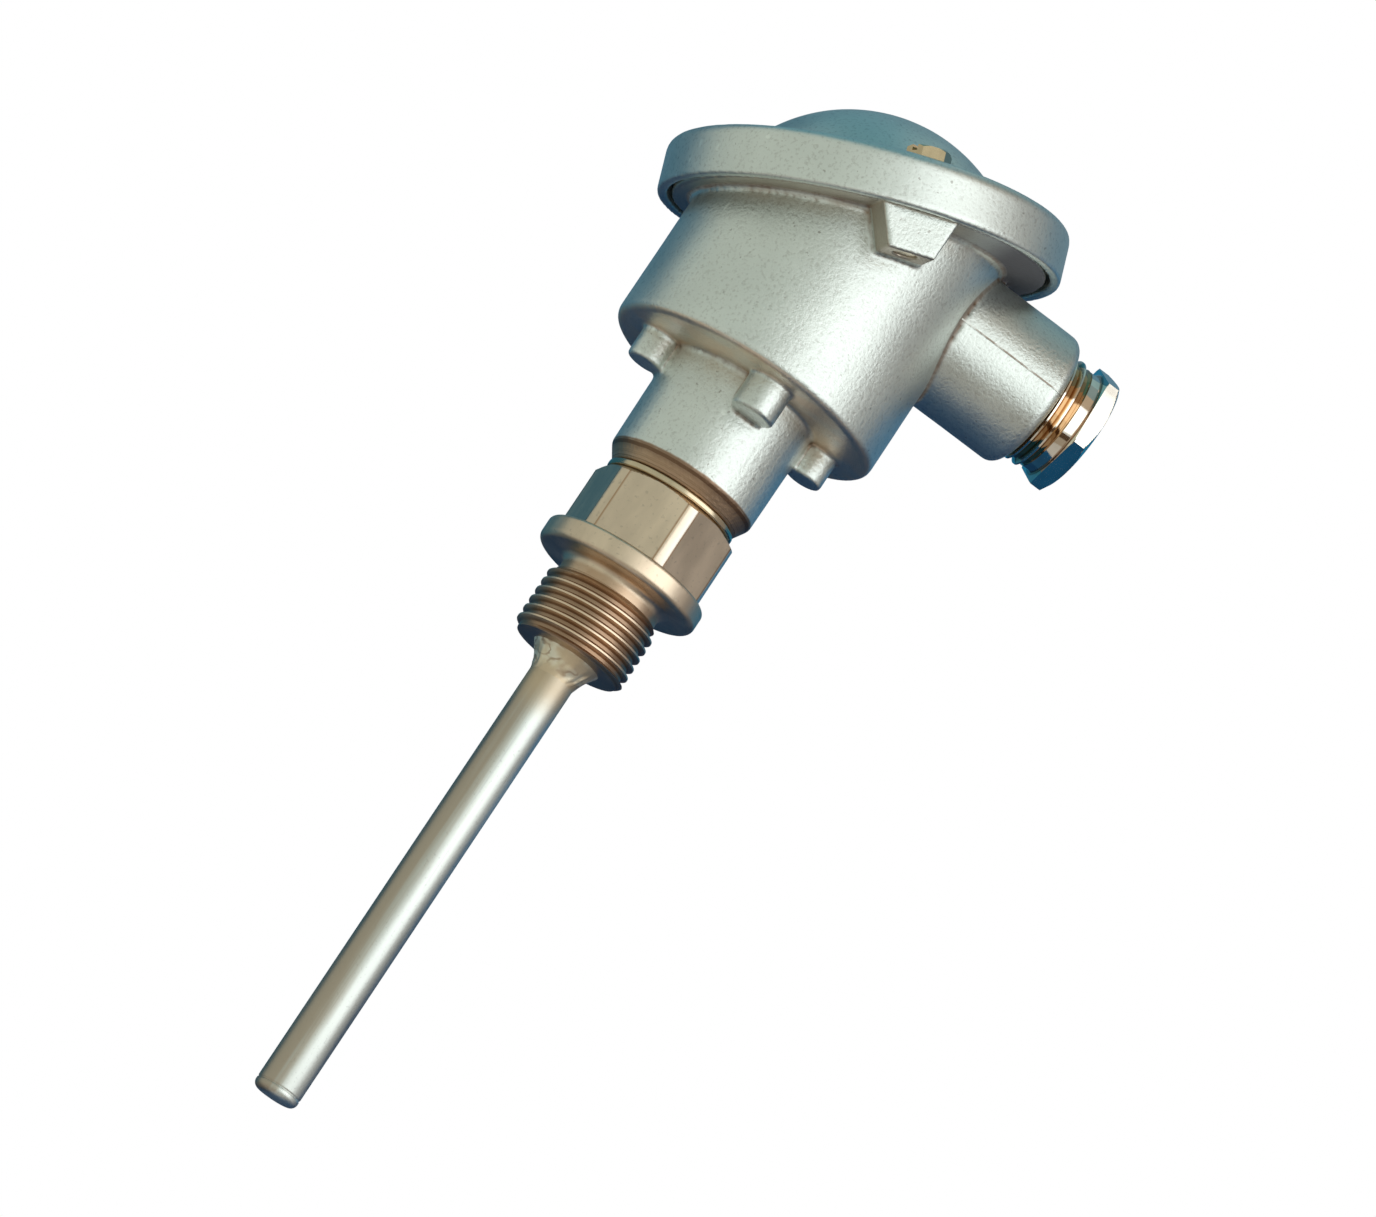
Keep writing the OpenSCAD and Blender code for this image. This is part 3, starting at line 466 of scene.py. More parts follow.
def fitting_finish():
    """Turned steel, brown from the weld's heat on its thread, with brown lines along the hexagon's edges, brown
    painted shade in the thread's roots and the collar's corner, and painted highlights on the thread's crests
    and the hexagon's corners towards +X.
    """
    f = steel_finish("turned_steel", colours().steel, 0.27)
    radius = across(f.x, f.y)
    waver = f.grain(1.2 * MM, 2.0, seed=2.3) - 0.5
    patches = f.grain(3.0 * MM, 3.0, seed=3.1).step(0.30, 0.66)
    crest = CREST_R * MM
    browned = (f.z + waver * 0.6 * MM).step(-0.8 * MM, -1.8 * MM)
    lay_stain_and_painted_light(f, browned * (0.65 + 0.35 * patches), 0.7, COPPERY)
    cut = f.z.step((UNDERCUT_Z + 0.2) * MM, (UNDERCUT_Z - 0.4) * MM)
    cut = cut * f.z.step((THREAD_END + 0.02) * MM, (THREAD_END + 0.2) * MM)
    # Painted shade: the thread's roots are darkened brown
    lay_stain_and_painted_light(f, cut * radius.step(crest - 0.25 * MM, crest - 0.7 * MM), 0.6, ROOT_SHADE)
    # Painted highlight: the thread's crests are painted pale
    lay_stain_and_painted_light(f, cut * radius.step(crest - 0.12 * MM, crest - 0.02 * MM), 0.6, CREST_HIGHLIGHT)
    # Painted shade: brown line in the corner where the hexagon meets the collar
    corner = (f.z - (COLLAR_H + 0.1) * MM).absolute().step(0.35 * MM, 0.12 * MM)
    lay_stain_and_painted_light(f, corner * radius.step(14.4 * MM, 14.0 * MM), 0.75, COLLAR_CORNER_SHADE)
    hexagon = f.z.step((COLLAR_H + 0.1) * MM, (COLLAR_H + 0.3) * MM)
    line = radius.step((HEX_CORNER_R - 0.26) * MM, (HEX_CORNER_R - 0.14) * MM)
    line = line * radius.step((HEX_CORNER_R - 0.06) * MM, (HEX_CORNER_R - 0.10) * MM)
    lay_stain_and_painted_light(f, line * hexagon, 0.65, CORNER_BROWN)
    # Painted highlight: the hexagon's turned corners towards +X are painted pale
    highlight_strip = radius.step((HEX_CORNER_R - 0.09) * MM, (HEX_CORNER_R - 0.05) * MM) * f.x.step(0, 3 * MM)
    lay_stain_and_painted_light(f, highlight_strip * hexagon, 0.8, CORNER_HIGHLIGHT)
    return f


def tube_finish():
    """Drawn tube: streaks along its length, brown painted shade down one side and heat colour at the weld."""
    f = Finish("drawn_tube", Metallic=1.0)
    base = colours().tube
    streak = f.grain(0.30 * MM, 3.0, stretch=(1, 1, 0.03), seed=0.2)
    blotch = f.grain(3.0 * MM, 3.0, stretch=(1, 1, 0.25), seed=1.7)
    speck = f.grain(0.25 * MM, 2.0, seed=0.6)
    tone = f.blend(blotch.step(0.3, 0.7), shade(base, 0.93), shade(base, 1.05))
    tone = f.blend(streak.step(0.42, 0.30) * 0.35, tone, shade(base, 0.70))
    tone = f.blend(speck.step(0.40, 0.28) * 0.35, tone, shade(base, 0.6))
    # Painted shade: the side towards -X is darkened brown, with streaks
    side = (f.x * -0.966 + f.y * -0.259) / (TUBE_R * MM)
    side = (side + (blotch - 0.5) * 0.5 + (streak - 0.5) * 0.5).step(0.30, 0.85)
    tone = f.blend(side * 0.85, tone, BROWN_SHADE)
    heat = (f.z + (blotch - 0.5) * 6 * MM).step(-28 * MM, -21 * MM)
    tone = f.blend(heat * 0.8, tone, BROWNED)
    f.set(Base_Color=tone, Roughness=0.32 + 0.14 * blotch + 0.08 * streak + 0.08 * heat)
    return f.bump(streak * 0.6 + speck * 0.5, 0.018 * MM, 0.7)


def weld_finish():
    """Weld metal: cream, with brown swirls and brown edges."""
    f = Finish("weld_metal", Metallic=0.9, IOR=1.5)
    drop = f.grain(1.6 * MM, 2.0, seed=0.8)
    swirl = f.grain(2.4 * MM, 2.0, stretch=(1, 1, 2.4), seed=2.4)
    fine = f.grain(0.25 * MM, 2.0, seed=1.3)
    tone = f.blend(drop.step(0.35, 0.65), WELD_TAN, WELD_CREAM)
    lines = (swirl - 0.5).absolute().step(0.07, 0.0) * drop.step(0.36, 0.56)
    tone = f.blend(lines * 0.7, tone, WELD_BROWN)
    end = (f.z + (drop - 0.5) * 2.0 * MM).step((THREAD_END - 2.6) * MM, (THREAD_END - 4.4) * MM)
    tone = f.blend(end * 0.85, tone, BROWNED)
    f.set(Base_Color=tone, Roughness=0.38 + 0.14 * drop)
    return f.bump(swirl * 0.8 + fine * 0.25, 0.09 * MM, 0.8)


def plated_finish(name, base, rough, along="z"):
    """Plated or bare machined metal with tool rings along one axis."""
    f = Finish(name, Metallic=1.0)
    rings = f.rings(getattr(f, along), 0.05 * MM, 2.0)
    smear = f.grain(1.5 * MM, 3.0, seed=0.5)
    tone = f.blend(smear.step(0.3, 0.7), shade(base, 0.90), shade(base, 1.06))
    f.set(Base_Color=tone, Roughness=rough + 0.06 * smear + 0.03 * rings)
    return f.bump(rings * 0.5 + smear * 0.4, 0.006 * MM, 0.5)


def gland_finish():
    """Bright nickel plate with brown painted shade in the thread's grooves and in the corners of the head."""
    f = plated_finish("nickel_gland", colours().nickel, 0.03, "x")
    radius = across(f.y, f.z - ENTRY_Z * MM)
    cut = f.x.step((GLAND_GROOVE + 0.1) * MM, (GLAND_GROOVE - 0.1) * MM)
    # Painted shade: the thread's roots are darkened brown
    thread_root_shade = radius.step((GLAND_R - 0.15) * MM, (GLAND_R - 0.7) * MM)
    lay_stain_and_painted_light(f, cut * thread_root_shade, 0.9, GROOVE_SHADE)
    lay_stain_and_painted_light(f, cut * radius.step((GLAND_R - 0.03) * MM, (GLAND_R - 0.2) * MM), 0.35, GLAND_GOLD)
    # Painted shade: brown in the corner where the groove meets the head
    corner = (f.x - (GLAND_HEX - 0.05) * MM).absolute().step(0.4 * MM, 0.1 * MM)
    lay_stain_and_painted_light(f, corner * radius.step(10.6 * MM, 10.2 * MM), 0.8, GROOVE_SHADE)
    return f


def ceramic_finish():
    f = Finish("unglazed_ceramic", IOR=1.5)
    base = colours().ceramic
    pore = f.grain(0.2 * MM, 3.0)
    cloud = f.grain(4 * MM, 3.0, seed=0.7)
    tone = f.blend(cloud.step(0.3, 0.7), shade(base, 0.94), shade(base, 1.03))
    tone = f.blend(pore.step(0.42, 0.25) * 0.5, tone, shade(base, 0.75))
    f.set(Base_Color=tone, Roughness=0.62 + 0.15 * pore)
    return f.bump(pore, 0.03 * MM, 0.5)


def rubber_finish():
    f = Finish("black_rubber", IOR=1.5)
    base = colours().rubber
    bloom = f.grain(1.8 * MM, 3.0)
    pore = f.grain(0.15 * MM, 2.0, seed=0.9)
    f.set(Base_Color=f.blend(bloom.step(0.4, 0.75) * 0.5, base, RUBBER_BLOOM),
          Roughness=0.62 + 0.2 * bloom)
    return f.bump(pore, 0.02 * MM, 0.5)


def dress(obj, finish):
    """Gives an object one finish in place of what it has."""
    obj.data.materials.clear()
    obj.data.materials.append(finish.material)


# ---- shapes ----

def link(name, data):
    """Puts a new object into the scene."""
    obj = bpy.data.objects.new(name, data)
    bpy.context.scene.collection.objects.link(obj)
    return obj


def add_object(name, mesh, body, finish, replaced=()):
    """Makes a mesh a piece that rides on a body, in place of the solids that it replaces."""
    obj = link(name, mesh)
    dress(obj, finish)
    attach(obj, body)
    if replaced:
        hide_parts(*replaced)
    return obj


def close_mesh(bm, name, crease=32):
    """Welds a bmesh, points its faces outward and makes it a mesh, smooth but for its creases."""
    bmesh.ops.remove_doubles(bm, verts=bm.verts, dist=SAME_POINT)
    bmesh.ops.dissolve_degenerate(bm, edges=bm.edges, dist=SAME_POINT)
    bmesh.ops.recalc_face_normals(bm, faces=bm.faces)
    mesh = bpy.data.meshes.new(name)
    bm.to_mesh(mesh)
    bm.free()
    mesh.shade_smooth()
    mesh.set_sharp_from_angle(angle=math.radians(crease))
    return mesh


def arc(centre_r, centre_z, radius, start, end, steps):
    """Points (r, z) of an arc, angles in degrees from the +r direction."""
    return [(centre_r + radius * math.cos(math.radians(a)), centre_z + radius * math.sin(math.radians(a)))
            for a in (start + (end - start) * k / steps for k in range(steps + 1))]


def hexagon_angles(af, corner_r, turn):
    """Angles round a turned hexagon, with one on each edge between a flat and a turned corner."""
    cut = corner_r < af / 2 / math.cos(math.pi / 6)
    edge = math.degrees(math.acos(af / 2 / corner_r)) if cut else 30.0
    offsets = [-edge + 2 * edge * k / FLAT_STEPS for k in range(FLAT_STEPS + 1)]
    if edge < 30:
        offsets += [(edge + 30) / 2, 30, 30 + (30 - edge) / 2]
    else:
        offsets.pop()
    return [math.radians(turn + 60 * side + offset) for side in range(6) for offset in offsets]


def hexagon_radius(angle, af, turn):
    """Distance from the axis to a hexagon's side in one direction."""
    local = (math.degrees(angle) - turn + 30) % 60 - 30
    return af / 2 / math.cos(math.radians(local))


def add_rings(bm, angles, rings, closed=False):
    """Skins rings of (radius or function of angle, z), in millimetres, round the z axis."""
    loops = []
    for radius, z in rings:
        loops.append([
            bm.verts.new(Vector((r * math.cos(a), r * math.sin(a), z)) * MM)
            for a, r in ((a, radius(a) if callable(radius) else radius) for a in angles)])
    pairs = list(zip(loops, loops[1:])) + ([(loops[-1], loops[0])] if closed else [])
    count = len(angles)
    for low, high in pairs:
        for i in range(count):
            j = (i + 1) % count
            bm.faces.new((low[i], low[j], high[j], high[i]))


# One thread ridge: part of a pitch, and height between root and crest
RIDGE = ((0.0, 1.0), (0.08, 1.0), (0.10, 0.95), (0.32, 0.06), (0.35, 0.0),
         (0.5, 0.03), (0.65, 0.0), (0.68, 0.06), (0.90, 0.95), (0.92, 1.0))


def add_thread(bm, angles, low, high, pitch, crest, depth, low_run, high_run):
    """Cuts a right-hand thread between two heights. Its ends taper to the groove's root over the runs."""
    root = crest - depth
    start = angles[0]
    turns = [(a - start) / math.tau for a in angles] + [1.0]
    rows = [(turn + phase, height) for turn in range(-1, int((high - low) / pitch) + 2)
            for phase, height in RIDGE]
    columns = []
    for angle, turn in zip(angles + [start], turns):
        column = []
        for phase, height in rows:
            z = min(high, max(low, low + pitch * (phase + turn)))
            cap = root + min((z - low) / low_run, (high - z) / high_run, 1.0) * depth
            r = min(root + depth * height, cap)
            column.append(bm.verts.new(Vector((r * math.cos(angle), r * math.sin(angle), z)) * MM))
        columns.append(column)
    for left, right in zip(columns, columns[1:]):
        for k in range(len(rows) - 1):
            corners = (left[k], right[k], right[k + 1], left[k + 1])
            if len({tuple(round(c / (1e-4 * MM)) for c in v.co) for v in corners}) > 2:
                bm.faces.new(corners)


def make_process_fitting():
    """Collar, pipe thread, undercut, turned hexagon and upper spigot as one turned piece."""
    angles = hexagon_angles(HEX_AF, HEX_CORNER_R, HEX_TURN)
    bm = bmesh.new()
    depth = sizes().pipe_depth / MM
    root = CREST_R - depth
    add_thread(bm, angles, THREAD_END, UNDERCUT_Z, sizes().pipe_pitch / MM, CREST_R, depth, 0.8, 1.1)
    face_r = HEX_AF * 0.47
    slope = math.tan(HEX_CHAMFER)
    chamfer_z = HEX_TOP - (HEX_CORNER_R - face_r) * slope

    def blank(z):
        turned = HEX_CORNER_R - max(0.0, (z - chamfer_z) / slope)
        return lambda a: min(hexagon_radius(a, HEX_AF, HEX_TURN), turned)

    low, top = COLLAR_LOW_ROUND, COLLAR_TOP_ROUND
    upper = [(root, UNDERCUT_Z), (UNDERCUT_R, UNDERCUT_Z + 0.12), (UNDERCUT_R, -COVE_R)]
    upper += arc(UNDERCUT_R + COVE_R, -COVE_R, COVE_R, 180, 90, 10)[1:]
    upper += [(COLLAR_R - low - 0.1, 0.0)] + arc(COLLAR_R - low, low, low, -90, 0, 8)
    upper += [(COLLAR_R, COLLAR_H - top - 0.03)] + arc(COLLAR_R - top, COLLAR_H - top, top, 0, 90, 6)
    upper += [(HEX_CORNER_R + 0.25, COLLAR_H), (HEX_CORNER_R + 0.05, COLLAR_H + 0.06)]
    heights = [COLLAR_H + 0.25, COLLAR_H + 4, chamfer_z]
    heights += [chamfer_z + (HEX_TOP - chamfer_z) * k / 9 for k in range(1, 10)]
    upper += [(blank(z), z) for z in heights]
    upper += [(SPIGOT_R + 0.1, HEX_TOP), (SPIGOT_R, HEX_TOP + 0.1), (SPIGOT_R, SPIGOT_TOP - SPIGOT_CHAMFER),
              (SPIGOT_R - SPIGOT_CHAMFER, SPIGOT_TOP), (SOCKET_R + 0.3, SPIGOT_TOP),
              (SOCKET_R, SPIGOT_TOP - 0.3), (SOCKET_R, HEX_TOP), (TUBE_BORE_R, HEX_TOP),
              (TUBE_BORE_R, COLLAR_H), (TUBE_R, COLLAR_H), (TUBE_R, THREAD_END),
              (root - 0.25, THREAD_END), (root, THREAD_END)]
    add_rings(bm, angles, upper)
    mesh = close_mesh(bm, "process_fitting", 28)
    add_object("fitting_turned", mesh, "head", fitting_finish(), ["process_fitting"])


def make_weld():
    """Rippled fillet weld between the fitting's end and the tube."""
    bm = bmesh.new()
    count, rows = 180, 16
    ripples = sizes().weld_ripples
    rings = []
    for row in range(rows + 1):
        t = row / rows

        def radius(a, t=t):
            bulge = math.sin(math.pi * t)
            lump = noise.noise(Vector((3 * math.cos(a), 3 * math.sin(a), 3 * t)))
            wave = math.sin(ripples * a + 7.0 * (t - 0.4) ** 2 * math.pi + 3.0 * lump)
            uneven = 0.5 + noise.noise(Vector((2 * math.cos(a) + 5, 2 * math.sin(a), 2 * t)))
            return TUBE_R - 0.02 + WELD_LEG * (1 - t) ** 1.5 + bulge * (0.09 * wave * uneven + 0.14 * lump)

        rings.append((radius, THREAD_END + 0.02 - WELD_LENGTH * t))
    rings += [(TUBE_R - 0.3, THREAD_END - WELD_LENGTH), (TUBE_R - 0.3, THREAD_END + 0.02)]
    angles = [math.tau * k / count for k in range(count)]
    add_rings(bm, angles, rings, closed=True)
    mesh = close_mesh(bm, "weld_bead", 60)
    add_object("weld_bead", mesh, "head", weld_finish(), ["stem_weld"])


# Groove round the end's weld: depth under the tube's skin and height over the weld, in millimetres
END_GROOVE = ((0.02, -0.06), (0.13, 0.06), (0.13, 0.16), (0.03, 0.30), (0, 0.42))


def make_tube():
    """Protective tube and its welded end, with the fine ring that the end's weld leaves."""
    bm = bmesh.new()
    angles = [math.tau * k / TUBE_SIDES for k in range(TUBE_SIDES)]
    outline = [(0.4, TIP_Z + 0.02), (1.5, TIP_Z), (TUBE_R - TIP_ROUND, TIP_Z)]
    outline += arc(TUBE_R - TIP_ROUND, TIP_Z + TIP_ROUND, TIP_ROUND, -90, 0, 10)[1:]
    outline += [(TUBE_R - sunk, PLUG_TOP + above) for sunk, above in END_GROOVE]
    outline += [(TUBE_R, -60), (TUBE_R, -20), (TUBE_R, COLLAR_H - 0.02), (TUBE_BORE_R, COLLAR_H - 0.02),
                (TUBE_BORE_R, PLUG_TOP)]
    add_rings(bm, angles, outline)
    for z in (TIP_Z + 0.02, PLUG_TOP):
        loop = [v for v in bm.verts
                if abs(v.co.z - z * MM) < SAME_POINT and v.co.xy.length < (TUBE_BORE_R + 0.01) * MM]
        loop.sort(key=lambda v: math.atan2(v.co.y, v.co.x))
        bm.faces.new(loop)
    mesh = close_mesh(bm, "protective_tube", 40)
    add_object("tube_drawn", mesh, "head", tube_finish(), ["stem_tube", "tip_plug"])


def make_gland_screw():
    """Hexagon gland screw with its cut thread, along +X."""
    corner_r = GLAND_AF / 2 / math.cos(math.pi / 6)
    angles = hexagon_angles(GLAND_AF, corner_r, GLAND_TURN)
    depth = sizes().gland_depth / MM
    root = GLAND_R - depth
    bm = bmesh.new()
    add_thread(bm, angles, GLAND_START, GLAND_GROOVE, sizes().gland_pitch / MM, GLAND_R, depth, 1.0, 0.9)
    chamfer_z = GLAND_END - GLAND_CHAMFER_H

    def head(z):
        cap = corner_r + (chamfer_z - z) / math.tan(HEX_CHAMFER)
        low = corner_r - 0.3 + (z - GLAND_HEX) * 3
        return lambda a: min(hexagon_radius(a, GLAND_AF, GLAND_TURN), cap, low)

    rings = [(root, GLAND_GROOVE), (GLAND_GROOVE_R, GLAND_GROOVE + 0.05), (GLAND_GROOVE_R, GLAND_HEX - 0.25)]
    rings += arc(GLAND_GROOVE_R + 0.25, GLAND_HEX - 0.25, 0.25, 180, 90, 4)[1:]
    heights = [GLAND_HEX + 0.001, GLAND_HEX + 0.1] + [chamfer_z + k / 10 for k in range(11)]
    rings += [(head(z), z) for z in heights]
    rings += [(GLAND_BORE_R + GLAND_MOUTH + 0.1, GLAND_END), (GLAND_BORE_R + GLAND_MOUTH, GLAND_END - 0.02),
              (GLAND_BORE_R, GLAND_END - GLAND_MOUTH), (GLAND_BORE_R, GLAND_START), (root, GLAND_START)]
    add_rings(bm, angles, rings)
    lie_along_x = Matrix.Translation(Vector((0, 0, ENTRY_Z)) * MM) @ Matrix.Rotation(math.pi / 2, 4, "Y")
    bmesh.ops.transform(bm, matrix=lie_along_x, verts=bm.verts)
    mesh = close_mesh(bm, "gland_screw", 28)
    add_object("gland_turned", mesh, "gland", gland_finish(), ["gland_screw"])


def make_insert_spring(number):
    """One spring of the insert, wound to fill its solid's box."""
    node = f"insert_spring_{number}"
    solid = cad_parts[node]
    corners = [solid.matrix_world @ Vector(corner) / MM for corner in solid.bound_box]
    low, high = (Vector([pick(c[i] for c in corners) for i in range(3)]) for pick in (min, max))
    middle, wire, length = (low + high) / 2, SPRING_WIRE_R, high.z - low.z
    coil_r = (high.y - low.y) / 2 - wire
    count = SPRING_TURNS * SPRING_STEPS
    bm = bmesh.new()
    loops = []
    for k in range(count + 1):
        turn = math.tau * k / SPRING_STEPS
        height = low.z + wire + (length - 2 * wire) * k / count
        loops.append([
            bm.verts.new(Vector((middle.x + r * math.cos(turn), middle.y + r * math.sin(turn), z)) * MM)
            for r, z in ((coil_r + wire * math.cos(a), height + wire * math.sin(a))
                         for a in (math.tau * i / SPRING_SIDES for i in range(SPRING_SIDES)))])
    for one, two in zip(loops, loops[1:]):
        for i in range(SPRING_SIDES):
            bm.faces.new((one[i], two[i], two[i - 1], one[i - 1]))
    for end in (loops[0], loops[-1]):
        bm.faces.new(end)
    mesh = close_mesh(bm, node)
    finish = plated_finish("spring_wire", shade(colours().zinc, 0.8), 0.24)
    spring = add_object(f"insert_coil_{number}", mesh, "head", finish, (node,))
    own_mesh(spring)


def evaluated_mesh(obj):
    """A new mesh with the object's modifiers applied."""
    return bpy.data.meshes.new_from_object(obj.evaluated_get(bpy.context.evaluated_depsgraph_get()))


def make_casting(node, name, body, finish, cell):
    """A copy of a cast solid with the soft edges and slightly uneven skin of a casting."""
    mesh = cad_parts[node].data.copy()
    mesh.name = name
    bm = bmesh.new()
    bm.from_mesh(mesh)
    bmesh.ops.remove_doubles(bm, verts=bm.verts, dist=1e-6)
    bm.to_mesh(mesh)
    bm.free()
    obj = link(name, mesh)
    remesh = obj.modifiers.new("cells", "REMESH")
    remesh.mode = "VOXEL"
    remesh.voxel_size = cell
    soften = obj.modifiers.new("soften", "SMOOTH")
    soften.factor, soften.iterations = 0.5, SOFTENING_STEPS
    thin = obj.modifiers.new("thin", "DECIMATE")
    thin.ratio = 1.0
    whole = evaluated_mesh(obj)
    thin.ratio = min(1.0, CAST_TRIANGLES / (2 * len(whole.polygons)))
    made = evaluated_mesh(obj)
    bpy.data.objects.remove(obj)
    bm = bmesh.new()
    bm.from_mesh(made)
    bm.normal_update()
    for v in bm.verts:
        v.co += v.normal * (noise.noise(v.co / (SKIN_WAVE * MM)) - 1) * SKIN_DEPTH * MM
    bm.to_mesh(made)
    bm.free()
    made.name = name
    made.shade_smooth()
    add_object(name, made, body, finish, [node])


def make_seam(side):
    """Parting line of the casting along one side of the cable entry."""
    straight = ENTRY_END - ENTRY_ROUND
    path = [(x, side * (ENTRY_R - 0.02), ENTRY_Z) for x in (21.4, 24, 28, 32, 36, 39, straight)]
    path += [(straight + ENTRY_ROUND * math.sin(a),
              side * (ENTRY_R - ENTRY_ROUND + (ENTRY_ROUND - 0.02) * math.cos(a)), ENTRY_Z)
             for a in (math.radians(d) for d in (15, 30, 45, 60, 75))]
    bm = bmesh.new()
    rows = []
    for k, point in enumerate(path):
        after, before = path[min(k + 1, len(path) - 1)], path[max(k - 1, 0)]
        along = (Vector(after) - Vector(before)).normalized()
        out = along.cross(Vector((0, 0, 1))) * side
        size = 0.75 + 0.25 * noise.noise(Vector(point) * 0.5)
        rows.append([
            bm.verts.new((Vector(point) + Vector((0, 0, w)) * SEAM_HALF_WIDTH * size + out * h * size) * MM)
            for w, h in ((-1, -0.12), (-0.55, 0.03), (0, 0.07), (0.55, 0.03), (1, -0.12))])
    for low, high in zip(rows, rows[1:]):
        for i in range(4):
            bm.faces.new((low[i], low[i + 1], high[i + 1], high[i]))
        bm.faces.new((low[4], low[0], high[0], high[4]))
    bm.faces.new(rows[0])
    bm.faces.new(rows[-1])
    name = "entry_seam_front" if side < 0 else "entry_seam_rear"
    finish = cast_finish("cast_seam")
    lay_stain_and_painted_light(finish, finish.grain(1.5 * MM, 2.0, seed=4.0).step(0.25, 0.6), 0.8)
    add_object(name, close_mesh(bm, name, 70), "head", finish)


# ---- stage ----

# In metres, degrees (azimuth, elevation and roll), millimetres of lens and watts
CENTRE = Vector((0.005, 0.0, 0.02))
CAMERA_PLACE = Vector((-0.17684, -0.91455, -0.21972))
CAMERA_ANGLES = (-11.697, -13.493, 33.517)
CAMERA_LENS = 151.8
WORLD_LIGHT = 0.62
FLOOR_SIZE = 6.0
FLOOR_Z = -0.90
FLOOR_COLOUR = (0.92, 0.92, 0.91, 1)
KEY_ANGLES = (31, 5)
KEY_DISTANCE = 0.66
KEY_SIZE = (0.66, 0.73)
KEY_WATTS = 1.36
KEY_COLOUR = (0.93, 1.0, 1.0)
CARD_RADIUS = 0.70


def direction(azimuth, elevation):
    """Unit vector from the object, azimuth 0 towards -Y and 90 towards +X, in degrees."""
    a, e = math.radians(azimuth), math.radians(elevation)
    return Vector((math.sin(a) * math.cos(e), -math.cos(a) * math.cos(e), math.sin(e)))


def make_camera():
    data = bpy.data.cameras.new("view_camera")
    data.sensor_width = 36
    data.lens = CAMERA_LENS
    data.clip_start, data.clip_end = 0.05, 20
    camera = link("view_camera", data)
    azimuth, elevation, roll = CAMERA_ANGLES
    back = direction(azimuth, elevation)
    level = Vector((math.cos(math.radians(azimuth)), math.sin(math.radians(azimuth)), 0))
    upright = back.cross(level)
    turn = math.radians(roll)
    right = level * math.cos(turn) + upright * math.sin(turn)
    up = upright * math.cos(turn) - level * math.sin(turn)
    camera.matrix_world = Matrix.Translation(CAMERA_PLACE) @ Matrix((right, up, back)).transposed().to_4x4()
    bpy.context.scene.camera = camera


# Reflecting cards: name, azimuths, elevations and colour
CARDS = (
    ("left_card", (-119, -22), (-40, 46), (0.556, 0.592, 0.528)),
    ("left_edge", (-22, 4), (-40, 46), (0.72, 0.76, 0.70)),
    ("left_ground", (-119, 60), (-80, -52), (0.42, 0.40, 0.36)),
    ("left_skirting", (-119, 4), (-52, -40), (0.40, 0.38, 0.33)),
    ("right_card", (61, 100), (-40, 60), (0.31, 0.29, 0.27)),
    ("upper_card", (4, 61), (36, 60), (0.42, 0.33, 0.24)),
    ("lower_card", (4, 61), (-37, -26), (0.07, 0.04, 0.022)),
    ("lower_skirting", (4, 61), (-52, -37), (0.30, 0.25, 0.19)),
    ("front_left_ceiling", (-119, 4), (46, 85), (0.09, 0.28, 0.34)),
    ("front_right_ceiling", (4, 100), (60, 85), (0.20, 0.27, 0.28)),
    ("right_ground", (60, 100), (-85, -40), (0.008, 0.06, 0.14)),
    ("far_left_card", (190, 241), (-30, 46), (0.025, 0.13, 0.21)),
    ("far_left_ground", (190, 241), (-85, -30), (0.10, 0.12, 0.13)),
    ("back_low_card", (100, 190), (-40, 4), (0.007, 0.035, 0.09)),
    ("back_ground", (100, 190), (-85, -40), (0.012, 0.055, 0.12)),
    ("back_card", (100, 190), (4, 24), (0.016, 0.16, 0.31)),
    ("back_high_card", (100, 190), (24, 60), (0.11, 0.22, 0.30)),
    ("back_left_ceiling", (190, 241), (46, 85), (0.14, 0.33, 0.40)),
    ("back_right_ceiling", (100, 190), (60, 85), (0.24, 0.38, 0.40)),
)


def make_key_lamp():
    """The one lamp, a large soft window to the right of the camera."""
    data = bpy.data.lights.new("key", "AREA")
    data.shape = "RECTANGLE"
    data.size, data.size_y = KEY_SIZE
    data.energy = KEY_WATTS
    data.color = KEY_COLOUR
    lamp = link("key", data)
    towards = direction(*KEY_ANGLES)
    lamp.location = CENTRE + towards * KEY_DISTANCE
    lamp.rotation_mode = "QUATERNION"
    lamp.rotation_quaternion = towards.to_track_quat("Z", "Y")
    lamp.visible_camera = False


def glow_material(name, colour):
    """A card's even glow."""
    material = bpy.data.materials.new(name)
    material.use_nodes = True
    material.node_tree.nodes.clear()
    nodes = Nodes(material.node_tree)
    glow = nodes.node("ShaderNodeEmission", inputs={"Color": colour, "Strength": 1.0})
    nodes.node("ShaderNodeOutputMaterial", inputs={"Surface": glow})
    return material


def add_card(name, azimuths, elevations, colour):
    """A curved coloured card round the object, seen only in its gloss."""
    bm = bmesh.new()
    across_steps, up_steps = 24, 12
    grid = [[bm.verts.new(CENTRE + direction(
        azimuths[0] + (azimuths[1] - azimuths[0]) * i / across_steps,
        elevations[0] + (elevations[1] - elevations[0]) * j / up_steps) * CARD_RADIUS)
        for i in range(across_steps + 1)] for j in range(up_steps + 1)]
    for low, high in zip(grid, grid[1:]):
        for i in range(across_steps):
            bm.faces.new((low[i], low[i + 1], high[i + 1], high[i]))
    mesh = bpy.data.meshes.new(name)
    bm.to_mesh(mesh)
    bm.free()
    mesh.materials.append(glow_material(name, colour))
    card = link(name, mesh)
    card.visible_camera = card.visible_diffuse = card.visible_shadow = False
    card.visible_transmission = card.visible_volume_scatter = False


